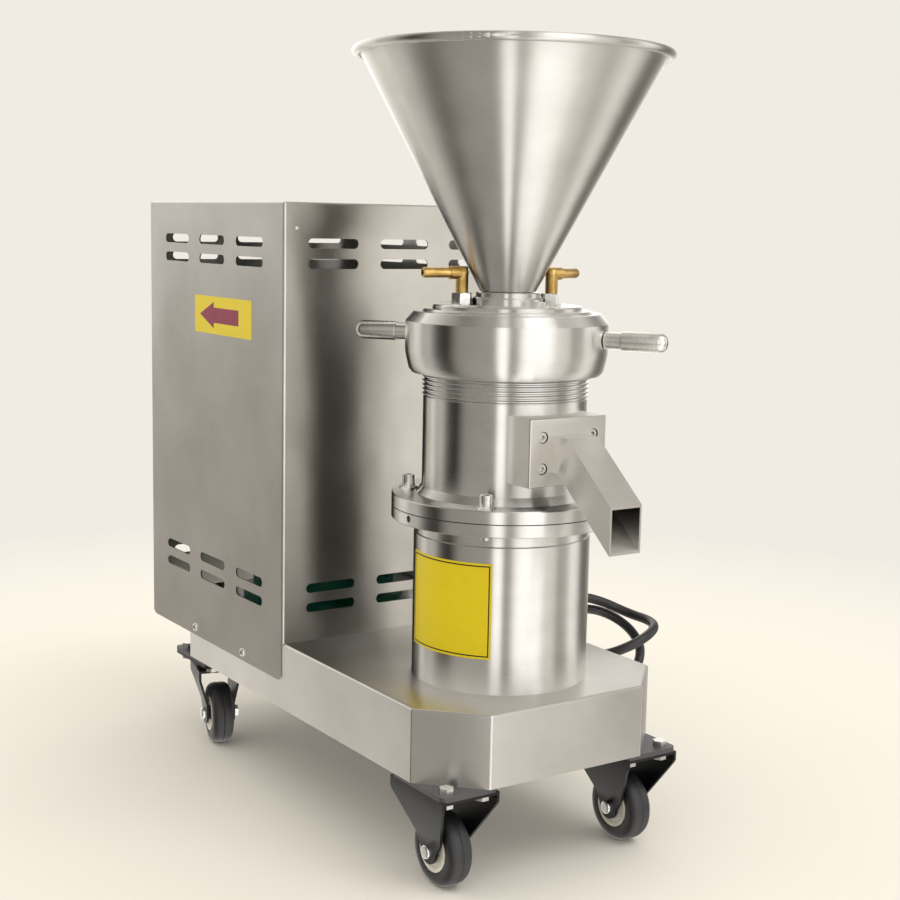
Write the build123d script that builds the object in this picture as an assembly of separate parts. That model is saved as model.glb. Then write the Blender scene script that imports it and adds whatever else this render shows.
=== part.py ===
"""Upright peanut butter mill: a belt driven colloid mill head on a wheeled steel base.

Millimetres, +Z up. Everything is drawn about the upright axis of the grinding head, with the
outlet chute towards -Y and the motor towards +Y, and is moved back at the end so that the
origin lies on the floor under the middle of the footprint.
"""
import math
import os

from build123d import *

# Base tray: folded stainless sheet, open below, corners cut off
BASE_WIDTH = 303.2
BASE_FRONT = 123.3          # front face, measured forward from the head axis
BASE_REAR = 505.9           # rear face, measured back from the head axis
BASE_BOTTOM = 110.0
BASE_HEIGHT = 75.3
BASE_CORNER = 56.3          # leg of the cut corner
BASE_SHEET = 2.0
BASE_BEND = 3.0
BASE_LIP = 2.0              # inward lip round the lower edge
DECK_PLATE = 8.0
DECK_PLATE_MARGIN = 30.0
HEAD_OPENING_RADIUS = 46.0
MOTOR_OPENING_RADIUS = 44.0

# Motor cover: folded sheet box that laps over the sides of the base
COVER_FRONT = 200.2
COVER_REAR = 561.4
COVER_TOP = 673.1
COVER_SKIRT = 142.0
COVER_SHEET = 1.5
COVER_BEND = 3.0
COVER_FLAP_CORNER = 12.0
VENT_HEIGHT = 10.8
VENT_ROW_PITCH = 22.2
VENT_GROUP_HEIGHTS = (234.0, 617.6)
VENT_FRONT_LENGTH = 63.0
VENT_FRONT_PITCH = 91.5
VENT_SIDE_LENGTH = 67.0
VENT_SIDE_PITCH = 97.7
COVER_SCREW_SPACING = 131.0
COVER_SCREW_HEIGHT = 152.0
COVER_SCREW_FORWARD = 17.0  # middle of the pair, forward of the middle of the cover

# Bearing housing, the lower cylinder of the head
HOUSING_RADIUS = 92.3
HOUSING_NECK_RADIUS = 91.0
HOUSING_NECK_HEIGHT = 15.0
HOUSING_HEIGHT = 165.5
HOUSING_CAVITY_RADIUS = 60.0
HOUSING_FLOOR = 24.0
HEAD_BOLT_OUT = 12.0        # bolts through the deck, outside the cavity
HEAD_BOLT_GRIP = 16.0
FLANGE_RADIUS = 116.1
LOWER_FLANGE = 12.7
FLANGE_GASKET = 1.0
UPPER_FLANGE = 12.8
PRY_HOLE_RADIUS = 3.5
PRY_HOLE_DEPTH = 14.0
FLANGE_BOLT_CIRCLE = 202.0
FLANGE_BOLT_COUNT = 4
FLANGE_BOLT_ANGLE = 45.0
FLANGE_BOLT_TAIL = 5.0
WASHER_FLAT = 1.6
WASHER_STACK = 3.8          # flat washer and spring washer together

# Rolling bearings, one size for both seats
BEARING_BORE = 35.0
BEARING_OUTSIDE = 72.0
BEARING_WIDTH = 17.0
BEARING_RING = 5.5          # radial thickness of each race
BEARING_CAP_HEIGHT = 12.0
BEARING_CAP_RADIUS = 50.0

# Mill housing, the upper cylinder with the adjusting thread. Each rise below, here and for the
# pieces that stand on the housing, is measured from the upper face of its flange.
MILL_RADIUS = 85.0
MILL_FOOT_RADIUS = 91.0
MILL_FOOT_HEIGHT = 8.0
MILL_BODY_RISE = 100.7
MILL_FLOOR = 21.5
CHAMBER_RADIUS = 70.0
CHAMBER_HEIGHT = 66.0
CARRIER_RADIUS = 76.0
THREAD_PITCH = 4.5
THREAD_CREST_RADIUS = 86.0
THREAD_DEPTH = 2.2
THREAD_TURNS = 14

# Adjusting ring with its two handles
RING_RISE = 125.3
RING_LOWER_RADIUS = 97.4
RING_RADIUS = 104.5
RING_BAND_RISE = 147.8
RING_BEVEL_RISE = 177.7
RING_TOP_RADIUS = 96.0
RING_TOP_RISE = 187.5
RING_LIP_RISE = 170.2
HANDLE_ANGLE = -55.2
HANDLE_RISE = 162.7
HANDLE_REACH = 169.0        # head axis to the rounded end of the grip
HANDLE_ROD_RADIUS = 8.75
HANDLE_ROD_LENGTH = 18.0
HANDLE_TENON_RADIUS = 6.0
HANDLE_TENON_LENGTH = 12.0
HANDLE_TENON_REACH = 26.0   # into the grip
GRIP_RADIUS = 10.0

# Stator carrier, the lid that the ring lifts, and what stands on it
CARRIER_SEAT_RISE = 178.7        # where the lid's flange rests on the ring
CARRIER_FLANGE_RADIUS = 86.6
CARRIER_TOP_RISE = 190.2
CARRIER_BOTTOM_RISE = 75.7
THROAT_RADIUS = 26.0
SLEEVE_RADIUS = 36.0        # pressed-in sleeve, the wall between the throat and the water
JACKET_RISE = 154.7
JACKET_RADIUS = 52.0
LID_RELIEF = 1.8            # above the rotor, so that the lid can come down to the closest gap
COVER_PLATE_RADIUS = 76.8
COVER_PLATE_HEIGHT = 4.5
COVER_BOLT_RADIUS = 58.5
COVER_BOLT_ANGLES = (-91.0, 94.0)
NECK_RADIUS = 36.6
NECK_HEIGHT = 8.0
NECK_RING_RADIUS = 33.0
NECK_RING_HEIGHT = 5.0

# Water connections
ELBOW_ANGLES = {"left": 154.0, "right": -17.0}
ELBOW_HEADINGS = {"left": 170.1, "right": 17.1}
ELBOW_RADIUS_OUT = 47.5     # distance from the head axis
ELBOW_RISE = 226.7
ELBOW_BODY_RADIUS = 6.7
HOSE_TAIL_RADIUS = 5.25
HOSE_TAIL_REACH = 44.0
HOSE_TAIL_LENGTH = 30.0
HOSE_TAIL_LEAD = 2.0
WATER_BORE_RADIUS = 3.0
ELBOW_NUT_FLATS = 19.0
ELBOW_NUT_HEIGHT = 12.0

# Rotor and stator
ROTOR_RISE = 77.7
ROTOR_HEIGHT = 66.0
ROTOR_LOWER_RADIUS = 55.0
ROTOR_UPPER_RADIUS = 30.0
MILLING_GAP = 1.0           # square to the cone
STATOR_RADIUS = 62.0
COARSE_TEETH = 12
FINE_TEETH = 30
COARSE_SHARE = 0.48         # upper share of the cone that carries the coarse teeth
TOOTH_SLANT = 18.0
GROOVE_DEPTH = 3.2
ROTOR_SKIRT = 9.0

# Hopper
HOPPER_RISE = 208.7
HOPPER_LOWER_RADIUS = 29.0
HOPPER_MOUTH_RADIUS = 155.1
HOPPER_TOP_RISE = 449.5
HOPPER_SHEET = 1.5
RIM_BEAD_RADIUS = 4.4
HOPPER_SPIGOT_RADIUS = 25.0
HOPPER_SPIGOT_LENGTH = 13.0

# Outlet block and chute
BLOCK_WIDTH = 94.0
BLOCK_FRONT = 107.6         # front face, measured forward from the head axis
BLOCK_ROOT = 40.0           # where the stock starts, inside the curve of the housing
BLOCK_RISE = 23.3
BLOCK_HEIGHT = 67.1
BLOCK_EDGE = 1.5
BLOCK_SCREW_WIDTH = 62.0
BLOCK_SCREW_RISE = 31.0
BLOCK_SCREW_SINK = 7.1      # underside of the heads below the front of the block
BLOCK_SCREW_LENGTH = 29.0
BLOCK_SCREW_MIDDLE_RISE = 56.7
CHUTE_WIDTH = 38.0
CHUTE_HEIGHT = 36.0
CHUTE_WALL = 2.0
CHUTE_RISE = 73.2
CHUTE_BEND = 130.0          # where the top face turns down, forward from the head axis
CHUTE_MOUTH = 198.0
CHUTE_SLOPE = 39.5

# Drive
MOTOR_BODY_RADIUS = 88.0
MOTOR_FIN_HEIGHT = 8.0
MOTOR_FIN_COUNT = 28
MOTOR_FIN_THICKNESS = 2.5
MOTOR_FLANGE_MARGIN = 4.0   # flange beyond the tips of the fins
MOTOR_FLANGE_HEIGHT = 14.0
MOTOR_FRAME_TOP = 490.0
FAN_COWL_MARGIN = 1.5       # cowl beyond the tips of the fins
FAN_COWL_HEIGHT = 98.0
MOTOR_SHAFT_RADIUS = 14.0
MOTOR_SHAFT_TAIL = 60.0     # beyond the frame, where the fan sits
MOTOR_BOLT_INSET = 14.0     # bolts in from the edge of the flange
TERMINAL_LID = 5.0
TERMINAL_BOX_CLEARANCE = 10.6   # from the lid to the wall of the base
TERMINAL_BOX_LENGTH = 84.0
TERMINAL_BOX_MIDDLE = 420.0
FAN_TIP_CLEARANCE = 25.5
FAN_HUB_RADIUS = 24.0
FAN_HEIGHT = 34.0
FAN_DISC = 3.0
PULLEY_MIDDLE = 146.0
PULLEY_WIDTH = 36.0
MOTOR_PULLEY_RADIUS = 54.0
MILL_PULLEY_RADIUS = 46.0
PULLEY_NUT_FLATS = 36.0
BELT_PITCH = 16.0
BELT_TOP_WIDTH = 13.0
BELT_HEIGHT = 8.0
BELT_HALF_ANGLE = 19.0
BELT_CLEARANCE = 0.35
SPINDLE_BOTTOM = 120.0
SPINDLE_END_RADIUS = 12.5
SPINDLE_MIDDLE_RADIUS = 21.0
SPINDLE_TOP_RADIUS = 14.0

# Castors, one size all round
WHEEL_DIAMETER = 75.0
WHEEL_WIDTH = 26.0
HUB_RADIUS = 22.0
HUB_WIDTH = 29.0
AXLE_RADIUS = 4.0
CORNER_PLATE = 5.0
CASTOR_PLATE = 3.0
CASTOR_PLATE_WIDTH = 67.0
CASTOR_PLATE_LENGTH = 95.0
CASTOR_INSET = 36.6         # castor middle in from the side of the base
CASTOR_FRONT_INSET = 50.8   # castor middle back from the front of the base
CASTOR_REAR_INSET = 50.8
CASTOR_BOLT_WIDTH = 42.0
CASTOR_BOLT_LENGTH = 70.0
CASTOR_TRAIL = 25.0
FORK_WIDTH = 52.0
FORK_LENGTH = 60.0
FORK_SHEET = 3.0
FORK_SHOULDER = 13.0        # upright part of each leg, clear of the nuts
FORK_SIDE_EDGE = 10.0
FORK_FOOT_RADIUS = 13.0
RACE_DEPTH = 12.0
NUT_HEIGHT = 6.5
SWIVEL_TURN = -14.0         # both rear wheels stand turned by this much
RACE_RADIUS = 26.0
KING_PIN_RADIUS = 5.0

# Power cord: gland on the front of the motor cover, loose turns beside the deck, coil and plug
CORD_RADIUS = 5.5
GLAND_INSET = 29.6          # in from the side of the base
GLAND_RISE = 27.7           # above the deck
GLAND_REACH = 34.0          # from the cover to the end of the tapered nose
GLAND_THREAD_RADIUS = 9.8
GLAND_FLATS = 24.0
CORD_DECK_ROUTE = [           # out from the side of the base, back from the head axis, above the deck
    (-29.6, 141, 27.7), (-13.6, 118, 30.7), (9.4, 107, 32.7), (37.4, 101, 35.7), (60.4, 89, 29.7),
    (83.4, 64, 16.7), (89.4, 30, 14.7), (69.4, 2, 13.7), (37.4, -6, 4.7), (11.4, 11, -9.3),
    (5.4, 43, -18.3), (14.4, 76, -11.3), (29.4, 108, 1.7), (14.4, 158, 8.7), (-37.6, 169, 7.7),
    (-70.6, 127, 6.7), (-50.6, 82, 8.7), (-5.6, 74, 17.7), (26.4, 96, 21.7), (56.4, 98, 18.7),
    (79.4, 84, 8.7), (87.4, 59, -5.3), (77.4, 31, -21.3),
]
CORD_FLOOR_ROUTE = [          # the same, but above the floor
    (54.4, 22, 139), (35.4, 39, 116), (29.4, 80, 100), (24.4, 124, 82), (22.4, 164, 52),
    (23.4, 204, 22), (26.4, 248, 6), (31.4, 296, 6), (28.4, 346, 6), (26.9, 390, 6),
]
COIL_OUT = 98.4               # middle of the coil, out from the side of the base
COIL_Y = 385.0
COIL_TURN_RADII = (71.5, 60.5, 66.0)    # two turns on the floor, the last one on top of them
CORD_TAIL_ROUTE = [
    (164.4, 376, 16), (166.4, 352, 17), (170.4, 326, 18.9), (170.4, 300, 18.9),
]
PLUG_RADIUS = 18.5
PLUG_BODY = 34.0
PLUG_RELIEF = 24.0
PLUG_PIN_RADIUS = 2.4
PLUG_PIN_LENGTH = 19.0
PLUG_PIN_SPACING = 19.0

# Clearances
RUNNING = 0.05
SLIDING = 0.08
CLEAR = 0.3
BOLT_ROOM = 1.5             # round the bolts in the deck

BASE_TOP = BASE_BOTTOM + BASE_HEIGHT
LOWER_FLANGE_BOTTOM = BASE_TOP + HOUSING_HEIGHT
GASKET_BOTTOM = LOWER_FLANGE_BOTTOM + LOWER_FLANGE
MILL_BOTTOM = GASKET_BOTTOM + FLANGE_GASKET
MILL_FLANGE_TOP = MILL_BOTTOM + UPPER_FLANGE
MILL_BODY_TOP = MILL_FLANGE_TOP + MILL_BODY_RISE
RING_BOTTOM = MILL_FLANGE_TOP + RING_RISE
RING_BAND_BOTTOM = MILL_FLANGE_TOP + RING_BAND_RISE
RING_BAND_TOP = MILL_FLANGE_TOP + RING_BEVEL_RISE
RING_TOP = MILL_FLANGE_TOP + RING_TOP_RISE
RING_LIP_BOTTOM = MILL_FLANGE_TOP + RING_LIP_RISE
HANDLE_HEIGHT = MILL_FLANGE_TOP + HANDLE_RISE
CARRIER_SEAT = MILL_FLANGE_TOP + CARRIER_SEAT_RISE
CARRIER_TOP = MILL_FLANGE_TOP + CARRIER_TOP_RISE
CARRIER_BOTTOM = MILL_FLANGE_TOP + CARRIER_BOTTOM_RISE
JACKET_BOTTOM = MILL_FLANGE_TOP + JACKET_RISE
ELBOW_AXIS_HEIGHT = MILL_FLANGE_TOP + ELBOW_RISE
ROTOR_BOTTOM = MILL_FLANGE_TOP + ROTOR_RISE
HOPPER_BOTTOM = MILL_FLANGE_TOP + HOPPER_RISE
HOPPER_TOP = MILL_FLANGE_TOP + HOPPER_TOP_RISE
BLOCK_BOTTOM = MILL_FLANGE_TOP + BLOCK_RISE
BLOCK_SCREW_MIDDLE = MILL_FLANGE_TOP + BLOCK_SCREW_MIDDLE_RISE
CHUTE_TOP = MILL_FLANGE_TOP + CHUTE_RISE
THREAD_TOP = MILL_BODY_TOP + THREAD_PITCH * THREAD_TURNS
COVER_PLATE_TOP = CARRIER_TOP + COVER_PLATE_HEIGHT
NECK_TOP = COVER_PLATE_TOP + NECK_HEIGHT + NECK_RING_HEIGHT
MOTOR_Y = (COVER_FRONT + COVER_REAR) / 2
WHEEL_RADIUS = WHEEL_DIAMETER / 2
MOTOR_FIN_RADIUS = MOTOR_BODY_RADIUS + MOTOR_FIN_HEIGHT
GLAND_X = BASE_WIDTH / 2 - GLAND_INSET
GLAND_HEIGHT = BASE_TOP + GLAND_RISE
COIL_X = BASE_WIDTH / 2 + COIL_OUT
MOTOR_FLANGE_RADIUS = MOTOR_FIN_RADIUS + MOTOR_FLANGE_MARGIN
FAN_COWL_RADIUS = MOTOR_FIN_RADIUS + FAN_COWL_MARGIN
FAN_RADIUS = FAN_COWL_RADIUS - FAN_TIP_CLEARANCE
FOOTPRINT_MIDDLE = (COVER_REAR - CHUTE_MOUTH) / 2

BOLT_SIZES = {                # radius, head width across flats or diameter, head height
    "M5": (2.5, 9.5, 3.0),
    "M8": (4.0, 13.0, 5.5),
    "M10": (5.0, 17.0, 6.5),
}


def cylinder(radius, bottom, top, x=0.0, y=0.0):
    """An upright cylinder between two heights."""
    return Pos(x, y, (bottom + top) / 2) * Cylinder(radius, top - bottom)


def box(x0, x1, y0, y1, z0, z1):
    return Pos((x0 + x1) / 2, (y0 + y1) / 2, (z0 + z1) / 2) * Box(x1 - x0, y1 - y0, z1 - z0)


def turned(points, x=0.0, y=0.0):
    """A solid of revolution from (radius, height) points about an upright axis."""
    face = make_face(Polyline(*[(r, 0, z) for r, z in points], close=True))
    return Pos(x, y, 0) * revolve(face, Axis.Z)


def hexagon(flats, height):
    """An upright hexagonal prism that stands on the ground plane."""
    return extrude(RegularPolygon(flats / 2, 6, major_radius=False), height)


def hex_bolt(size, shank, head_at_top=True):
    """A hexagon bolt whose head stands on the ground plane, shank down, or the reverse."""
    radius, flats, height = BOLT_SIZES[size]
    bolt = hexagon(flats, height) + cylinder(radius, -shank, 0)
    if head_at_top:
        return bolt
    return Rot(180, 0, 0) * bolt


def socket_screw(radius, head_radius, head_height, shank):
    """A socket cap screw, underside of its head on the ground plane."""
    screw = cylinder(head_radius, 0, head_height) + cylinder(radius, -shank, 0)
    socket = Pos(0, 0, head_height / 2) * hexagon(radius * 1.5, head_height)
    return screw - socket


def around(count, radius, start=0.0):
    """Places round the head axis."""
    return [Rot(0, 0, start + i * 360 / count) * Pos(radius, 0, 0) for i in range(count)]


# Base


def base_outline(inset=0.0):
    """The plan of the base, a rectangle with its corners cut off, drawn inset by a wall."""
    half = BASE_WIDTH / 2 - inset
    front = -BASE_FRONT + inset
    rear = BASE_REAR - inset
    cut = BASE_CORNER - inset * (2 - math.sqrt(2))
    points = [
        (half - cut, front), (half, front + cut), (half, rear - cut), (half - cut, rear),
        (cut - half, rear), (-half, rear - cut), (-half, front + cut), (cut - half, front),
    ]
    return make_face(Polyline(*points, close=True))


def castor_middles():
    """Middle of each castor's plate: front left, front right, rear left, rear right."""
    side = BASE_WIDTH / 2 - CASTOR_INSET
    front = -BASE_FRONT + CASTOR_FRONT_INSET
    rear = BASE_REAR - CASTOR_REAR_INSET
    return [(-side, front), (side, front), (-side, rear), (side, rear)]


def castor_bolt_places():
    places = []
    for x, y in castor_middles():
        for dx in (-CASTOR_BOLT_WIDTH / 2, CASTOR_BOLT_WIDTH / 2):
            for dy in (-CASTOR_BOLT_LENGTH / 2, CASTOR_BOLT_LENGTH / 2):
                places.append((x + dx, y + dy))
    return places


def head_bolt_places():
    return around(4, HOUSING_CAVITY_RADIUS + HEAD_BOLT_OUT, 45)


def motor_bolt_places():
    return [Pos(0, MOTOR_Y, 0) * place for place in around(4, MOTOR_FLANGE_RADIUS - MOTOR_BOLT_INSET, 45)]


def deck_openings(bottom, top):
    """Openings in the deck for the two shafts and for the bolts of the head and the motor."""
    openings = [cylinder(HEAD_OPENING_RADIUS, bottom, top)]
    openings.append(cylinder(MOTOR_OPENING_RADIUS, bottom, top, 0, MOTOR_Y))
    bolt_hole = cylinder(BOLT_SIZES["M8"][0] + BOLT_ROOM, bottom, top)
    openings += [place * bolt_hole for place in head_bolt_places() + motor_bolt_places()]
    return openings


def base_shell():
    inner_bottom = BASE_BOTTOM + BASE_SHEET
    outer = Pos(0, 0, BASE_BOTTOM) * extrude(base_outline(), BASE_HEIGHT)
    inner = Pos(0, 0, inner_bottom) * extrude(base_outline(BASE_SHEET), BASE_HEIGHT - 2 * BASE_SHEET)
    mouth = Pos(0, 0, BASE_BOTTOM) * extrude(base_outline(BASE_SHEET + BASE_LIP), BASE_SHEET)
    bends = outer.edges().filter_by(Axis.Z) + outer.faces().sort_by(Axis.Z)[-1].edges()
    shell = fillet(bends, BASE_BEND) - inner - mouth
    return shell - deck_openings(BASE_TOP - 2 * BASE_SHEET, BASE_TOP + 1)


def deck_plate():
    half = BASE_WIDTH / 2 - DECK_PLATE_MARGIN
    top = BASE_TOP - BASE_SHEET
    bottom = top - DECK_PLATE
    plate = box(-half, half, -BASE_FRONT + DECK_PLATE_MARGIN, BASE_REAR - DECK_PLATE_MARGIN, bottom, top)
    plate = chamfer(plate.edges().filter_by(Axis.Z), DECK_PLATE_MARGIN)
    return plate - deck_openings(bottom, top)


def castor_plate(x, y, bottom, height, corner):
    """A rounded plate with the four castor bolt holes."""
    plate = Pos(x, y, bottom + height / 2) * Box(CASTOR_PLATE_WIDTH, CASTOR_PLATE_LENGTH, height)
    plate = fillet(plate.edges().filter_by(Axis.Z), corner)
    holes = []
    for dx in (-CASTOR_BOLT_WIDTH / 2, CASTOR_BOLT_WIDTH / 2):
        for dy in (-CASTOR_BOLT_LENGTH / 2, CASTOR_BOLT_LENGTH / 2):
            holes.append(cylinder(BOLT_SIZES["M8"][0] + CLEAR, bottom, bottom + height, x + dx, y + dy))
    return plate - holes


def corner_plates():
    bottom = BASE_BOTTOM - CORNER_PLATE
    return Compound(children=[castor_plate(x, y, bottom, CORNER_PLATE, 7) for x, y in castor_middles()])


def castor_bolts():
    """The bolts that hold the castors, each with its nut."""
    stack = CORNER_PLATE + CASTOR_PLATE + NUT_HEIGHT + 1
    bolt = hex_bolt("M8", stack)
    bottom = BASE_BOTTOM - CORNER_PLATE - CASTOR_PLATE - NUT_HEIGHT
    radius, flats, height = BOLT_SIZES["M8"]
    nut = hexagon(flats, NUT_HEIGHT) - cylinder(radius + RUNNING, 0, NUT_HEIGHT)
    made = [Pos(x, y, BASE_BOTTOM) * bolt for x, y in castor_bolt_places()]
    made += [Pos(x, y, bottom) * nut for x, y in castor_bolt_places()]
    return Compound(children=made)


# Castors, drawn with the swivel axis or the plate's middle at the origin


def bent_horn(top_half, foot_half, top, length, foot_y):
    """The folded sheet that carries a wheel: a cross-section cut to a taper seen from the side."""
    shoulder = top - FORK_SHOULDER
    knee = WHEEL_RADIUS + FORK_FOOT_RADIUS
    foot = WHEEL_RADIUS - FORK_FOOT_RADIUS
    sheet = FORK_SHEET
    right = [
        (0, top), (top_half, top), (top_half, shoulder), (foot_half, knee), (foot_half, foot),
        (foot_half - sheet, foot), (foot_half - sheet, knee), (top_half - sheet, shoulder),
        (top_half - sheet, top - sheet), (0, top - sheet),
    ]
    left = [(-x, z) for x, z in reversed(right[1:-1])]
    section = make_face(Polyline(*[(x, 0, z) for x, z in right + left], close=True))
    channel = extrude(section, length / 2 + abs(foot_y), dir=(0, 1, 0), both=True)
    tip = FORK_FOOT_RADIUS
    outline = [
        (-length / 2, top), (length / 2, top), (length / 2, top - FORK_SIDE_EDGE),
        (foot_y + tip, WHEEL_RADIUS), (foot_y - tip, WHEEL_RADIUS), (-length / 2, top - FORK_SIDE_EDGE),
    ]
    side = make_face(Polyline(*[(0, y, z) for y, z in outline], close=True))
    side = extrude(side, top_half, dir=(1, 0, 0), both=True)
    side = side + Pos(0, foot_y, WHEEL_RADIUS) * Rot(0, 90, 0) * Cylinder(tip, 2 * top_half)
    bore = Pos(0, foot_y, WHEEL_RADIUS) * Rot(0, 90, 0) * Cylinder(AXLE_RADIUS + RUNNING, 4 * top_half)
    return (channel & side) - bore


def front_castor_bracket():
    top = BASE_BOTTOM - CORNER_PLATE
    horn = bent_horn(CASTOR_PLATE_WIDTH / 2, HUB_WIDTH / 2 + 0.5 + FORK_SHEET, top, CASTOR_PLATE_LENGTH, 0)
    plate = castor_plate(0, 0, top - CASTOR_PLATE, CASTOR_PLATE, 7)
    holes = []
    for dx in (-CASTOR_BOLT_WIDTH / 2, CASTOR_BOLT_WIDTH / 2):
        for dy in (-CASTOR_BOLT_LENGTH / 2, CASTOR_BOLT_LENGTH / 2):
            holes.append(cylinder(BOLT_SIZES["M8"][0] + CLEAR, top - 2 * FORK_SHEET, top, dx, dy))
    return plate + (horn - holes)


def rear_castor_plate():
    top = BASE_BOTTOM - CORNER_PLATE
    plate = castor_plate(0, 0, top - CASTOR_PLATE, CASTOR_PLATE, 7)
    low = top - RACE_DEPTH
    under = top - CASTOR_PLATE
    race = turned([(0, low), (RACE_RADIUS - 4, low), (RACE_RADIUS, under), (0, under)])
    pin = cylinder(KING_PIN_RADIUS, low - FORK_SHEET - 2 * CLEAR, low)
    head = cylinder(KING_PIN_RADIUS + 4, low - FORK_SHEET - 2 * CLEAR - 3, low - FORK_SHEET - 2 * CLEAR)
    return plate + race + pin + head


def rear_fork():
    top = BASE_BOTTOM - CORNER_PLATE - RACE_DEPTH - CLEAR
    horn = bent_horn(FORK_WIDTH / 2, HUB_WIDTH / 2 + 0.5 + FORK_SHEET, top, FORK_LENGTH, -CASTOR_TRAIL)
    return horn - cylinder(KING_PIN_RADIUS + RUNNING, top - 2 * FORK_SHEET, top + 1)


def wheel_axis_turn(shape):
    """From a form turned about Z to a wheel that rolls along Y."""
    return Pos(0, 0, WHEEL_RADIUS) * Rot(0, 90, 0) * shape


def wheel_tread():
    r = WHEEL_RADIUS
    w = WHEEL_WIDTH / 2
    groove = 1.2
    profile = [
        (HUB_RADIUS + RUNNING, -w), (r - 7, -w), (r - 1.6, -w + 3.5), (r, -groove - 4), (r, -groove),
        (r - groove, 0), (r, groove), (r, groove + 4), (r - 1.6, w - 3.5), (r - 7, w),
        (HUB_RADIUS + RUNNING, w),
    ]
    return wheel_axis_turn(turned(profile))


def wheel_hub():
    w = HUB_WIDTH / 2
    bore = AXLE_RADIUS + RUNNING
    rim = HUB_RADIUS - 4
    face = w - 4.5
    half = [
        (bore, -w), (8, -w), (8, -face), (rim, -face), (rim, -WHEEL_WIDTH / 2 - 0.4),
        (HUB_RADIUS, -WHEEL_WIDTH / 2 - 0.4),
    ]
    mirrored = [(r, -z) for r, z in reversed(half)]
    return wheel_axis_turn(turned(half + mirrored))


def wheel_axle():
    """Axle bolt with a domed head on one side and a nut on the other."""
    outer = HUB_WIDTH / 2 + 0.5 + FORK_SHEET
    bolt = Cylinder(AXLE_RADIUS, 2 * outer + 8)
    head = Pos(0, 0, -outer - 2.5) * Cylinder(7, 5)
    head = fillet(head.edges().sort_by(Axis.Z)[0], 2.2)
    nut = Pos(0, 0, outer) * hexagon(12, 5.5)
    return wheel_axis_turn(bolt + head + nut)


def castor_frames():
    """Where each castor's own frame stands in the machine, rear wheels turned."""
    frames = {}
    names = ("front_left", "front_right", "rear_left", "rear_right")
    for name, (x, y) in zip(names, castor_middles()):
        turn = SWIVEL_TURN if name.startswith("rear") else 0.0
        frames[name] = Pos(x, y, 0) * Rot(0, 0, turn)
    return frames


# Motor cover


def vent_tools():
    """Rows of round ended slots through the front and rear, then through both sides."""
    middle = (COVER_FRONT + COVER_REAR) / 2
    tools = []
    for group in VENT_GROUP_HEIGHTS:
        for row in (-0.5, 0.5):
            height = group + row * VENT_ROW_PITCH
            for column in (-1, 0, 1):
                front = SlotOverall(VENT_FRONT_LENGTH, VENT_HEIGHT)
                front = extrude(front, 4, both=True)
                side = SlotOverall(VENT_SIDE_LENGTH, VENT_HEIGHT)
                side = extrude(side, 4, both=True)
                for y in (COVER_FRONT, COVER_REAR):
                    tools.append(Pos(column * VENT_FRONT_PITCH, y, height) * Rot(90, 0, 0) * front)
                for x in (-BASE_WIDTH / 2, BASE_WIDTH / 2):
                    place = Pos(x, middle + column * VENT_SIDE_PITCH, height)
                    tools.append(place * Rot(0, 0, 90) * Rot(90, 0, 0) * side)
    return tools


def cover_screw_places():
    middle = (COVER_FRONT + COVER_REAR) / 2 - COVER_SCREW_FORWARD
    places = []
    for side in (-1, 1):
        for end in (-0.5, 0.5):
            places.append((side, middle + end * COVER_SCREW_SPACING))
    return places


def motor_cover():
    half = BASE_WIDTH / 2 + COVER_SHEET
    outer = box(-half, half, COVER_FRONT, COVER_REAR, COVER_SKIRT, COVER_TOP)
    outer = fillet(outer.edges().filter_by(Axis.Z) + outer.faces().sort_by(Axis.Z)[-1].edges(), COVER_BEND)
    inner = box(
        -BASE_WIDTH / 2, BASE_WIDTH / 2, COVER_FRONT + COVER_SHEET, COVER_REAR - COVER_SHEET,
        COVER_SKIRT - 1, COVER_TOP - COVER_SHEET,
    )
    front_gap = box(
        -BASE_WIDTH / 2, BASE_WIDTH / 2, COVER_FRONT - 1, COVER_FRONT + COVER_BEND, COVER_SKIRT - 1, BASE_TOP,
    )
    shell = outer - inner - front_gap
    corner = COVER_FLAP_CORNER
    for y, sign in ((COVER_FRONT, 1), (COVER_REAR, -1)):
        notch = box(-half - 1, half + 1, y - corner, y + corner, COVER_SKIRT - corner, COVER_SKIRT + corner)
        round_off = Pos(0, y + sign * corner, COVER_SKIRT + corner) * Rot(0, 90, 0)
        notch = notch - round_off * Cylinder(corner, 3 * half)
        notch = notch & box(-half - 1, half + 1, min(y, y + sign * corner), max(y, y + sign * corner),
                            COVER_SKIRT - 1, COVER_SKIRT + corner)
        shell = shell - notch
    shell = shell - vent_tools()
    holes = []
    for side, y in cover_screw_places():
        holes.append(Pos(side * half, y, COVER_SCREW_HEIGHT) * Rot(0, 90, 0) * Cylinder(2.8, 8))
    gland_hole = Cylinder(GLAND_THREAD_RADIUS + CLEAR, 4 * COVER_SHEET)
    holes.append(Pos(GLAND_X, COVER_FRONT, GLAND_HEIGHT) * Rot(90, 0, 0) * gland_hole)
    return shell - holes


def cover_screws():
    radius, head, height = BOLT_SIZES["M5"]
    screw = cylinder(head / 2, 0, height)
    screw = fillet(screw.edges().sort_by(Axis.Z)[-1], height * 0.7)
    screw = screw - Pos(0, 0, 1) * hexagon(3, height)
    screw = screw + cylinder(radius, -COVER_SHEET, 0)
    half = BASE_WIDTH / 2 + COVER_SHEET
    made = []
    for side, y in cover_screw_places():
        made.append(Pos(side * half, y, COVER_SCREW_HEIGHT) * Rot(0, 90 * side, 0) * screw)
    return Compound(children=made)


# Motor and belt drive


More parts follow.
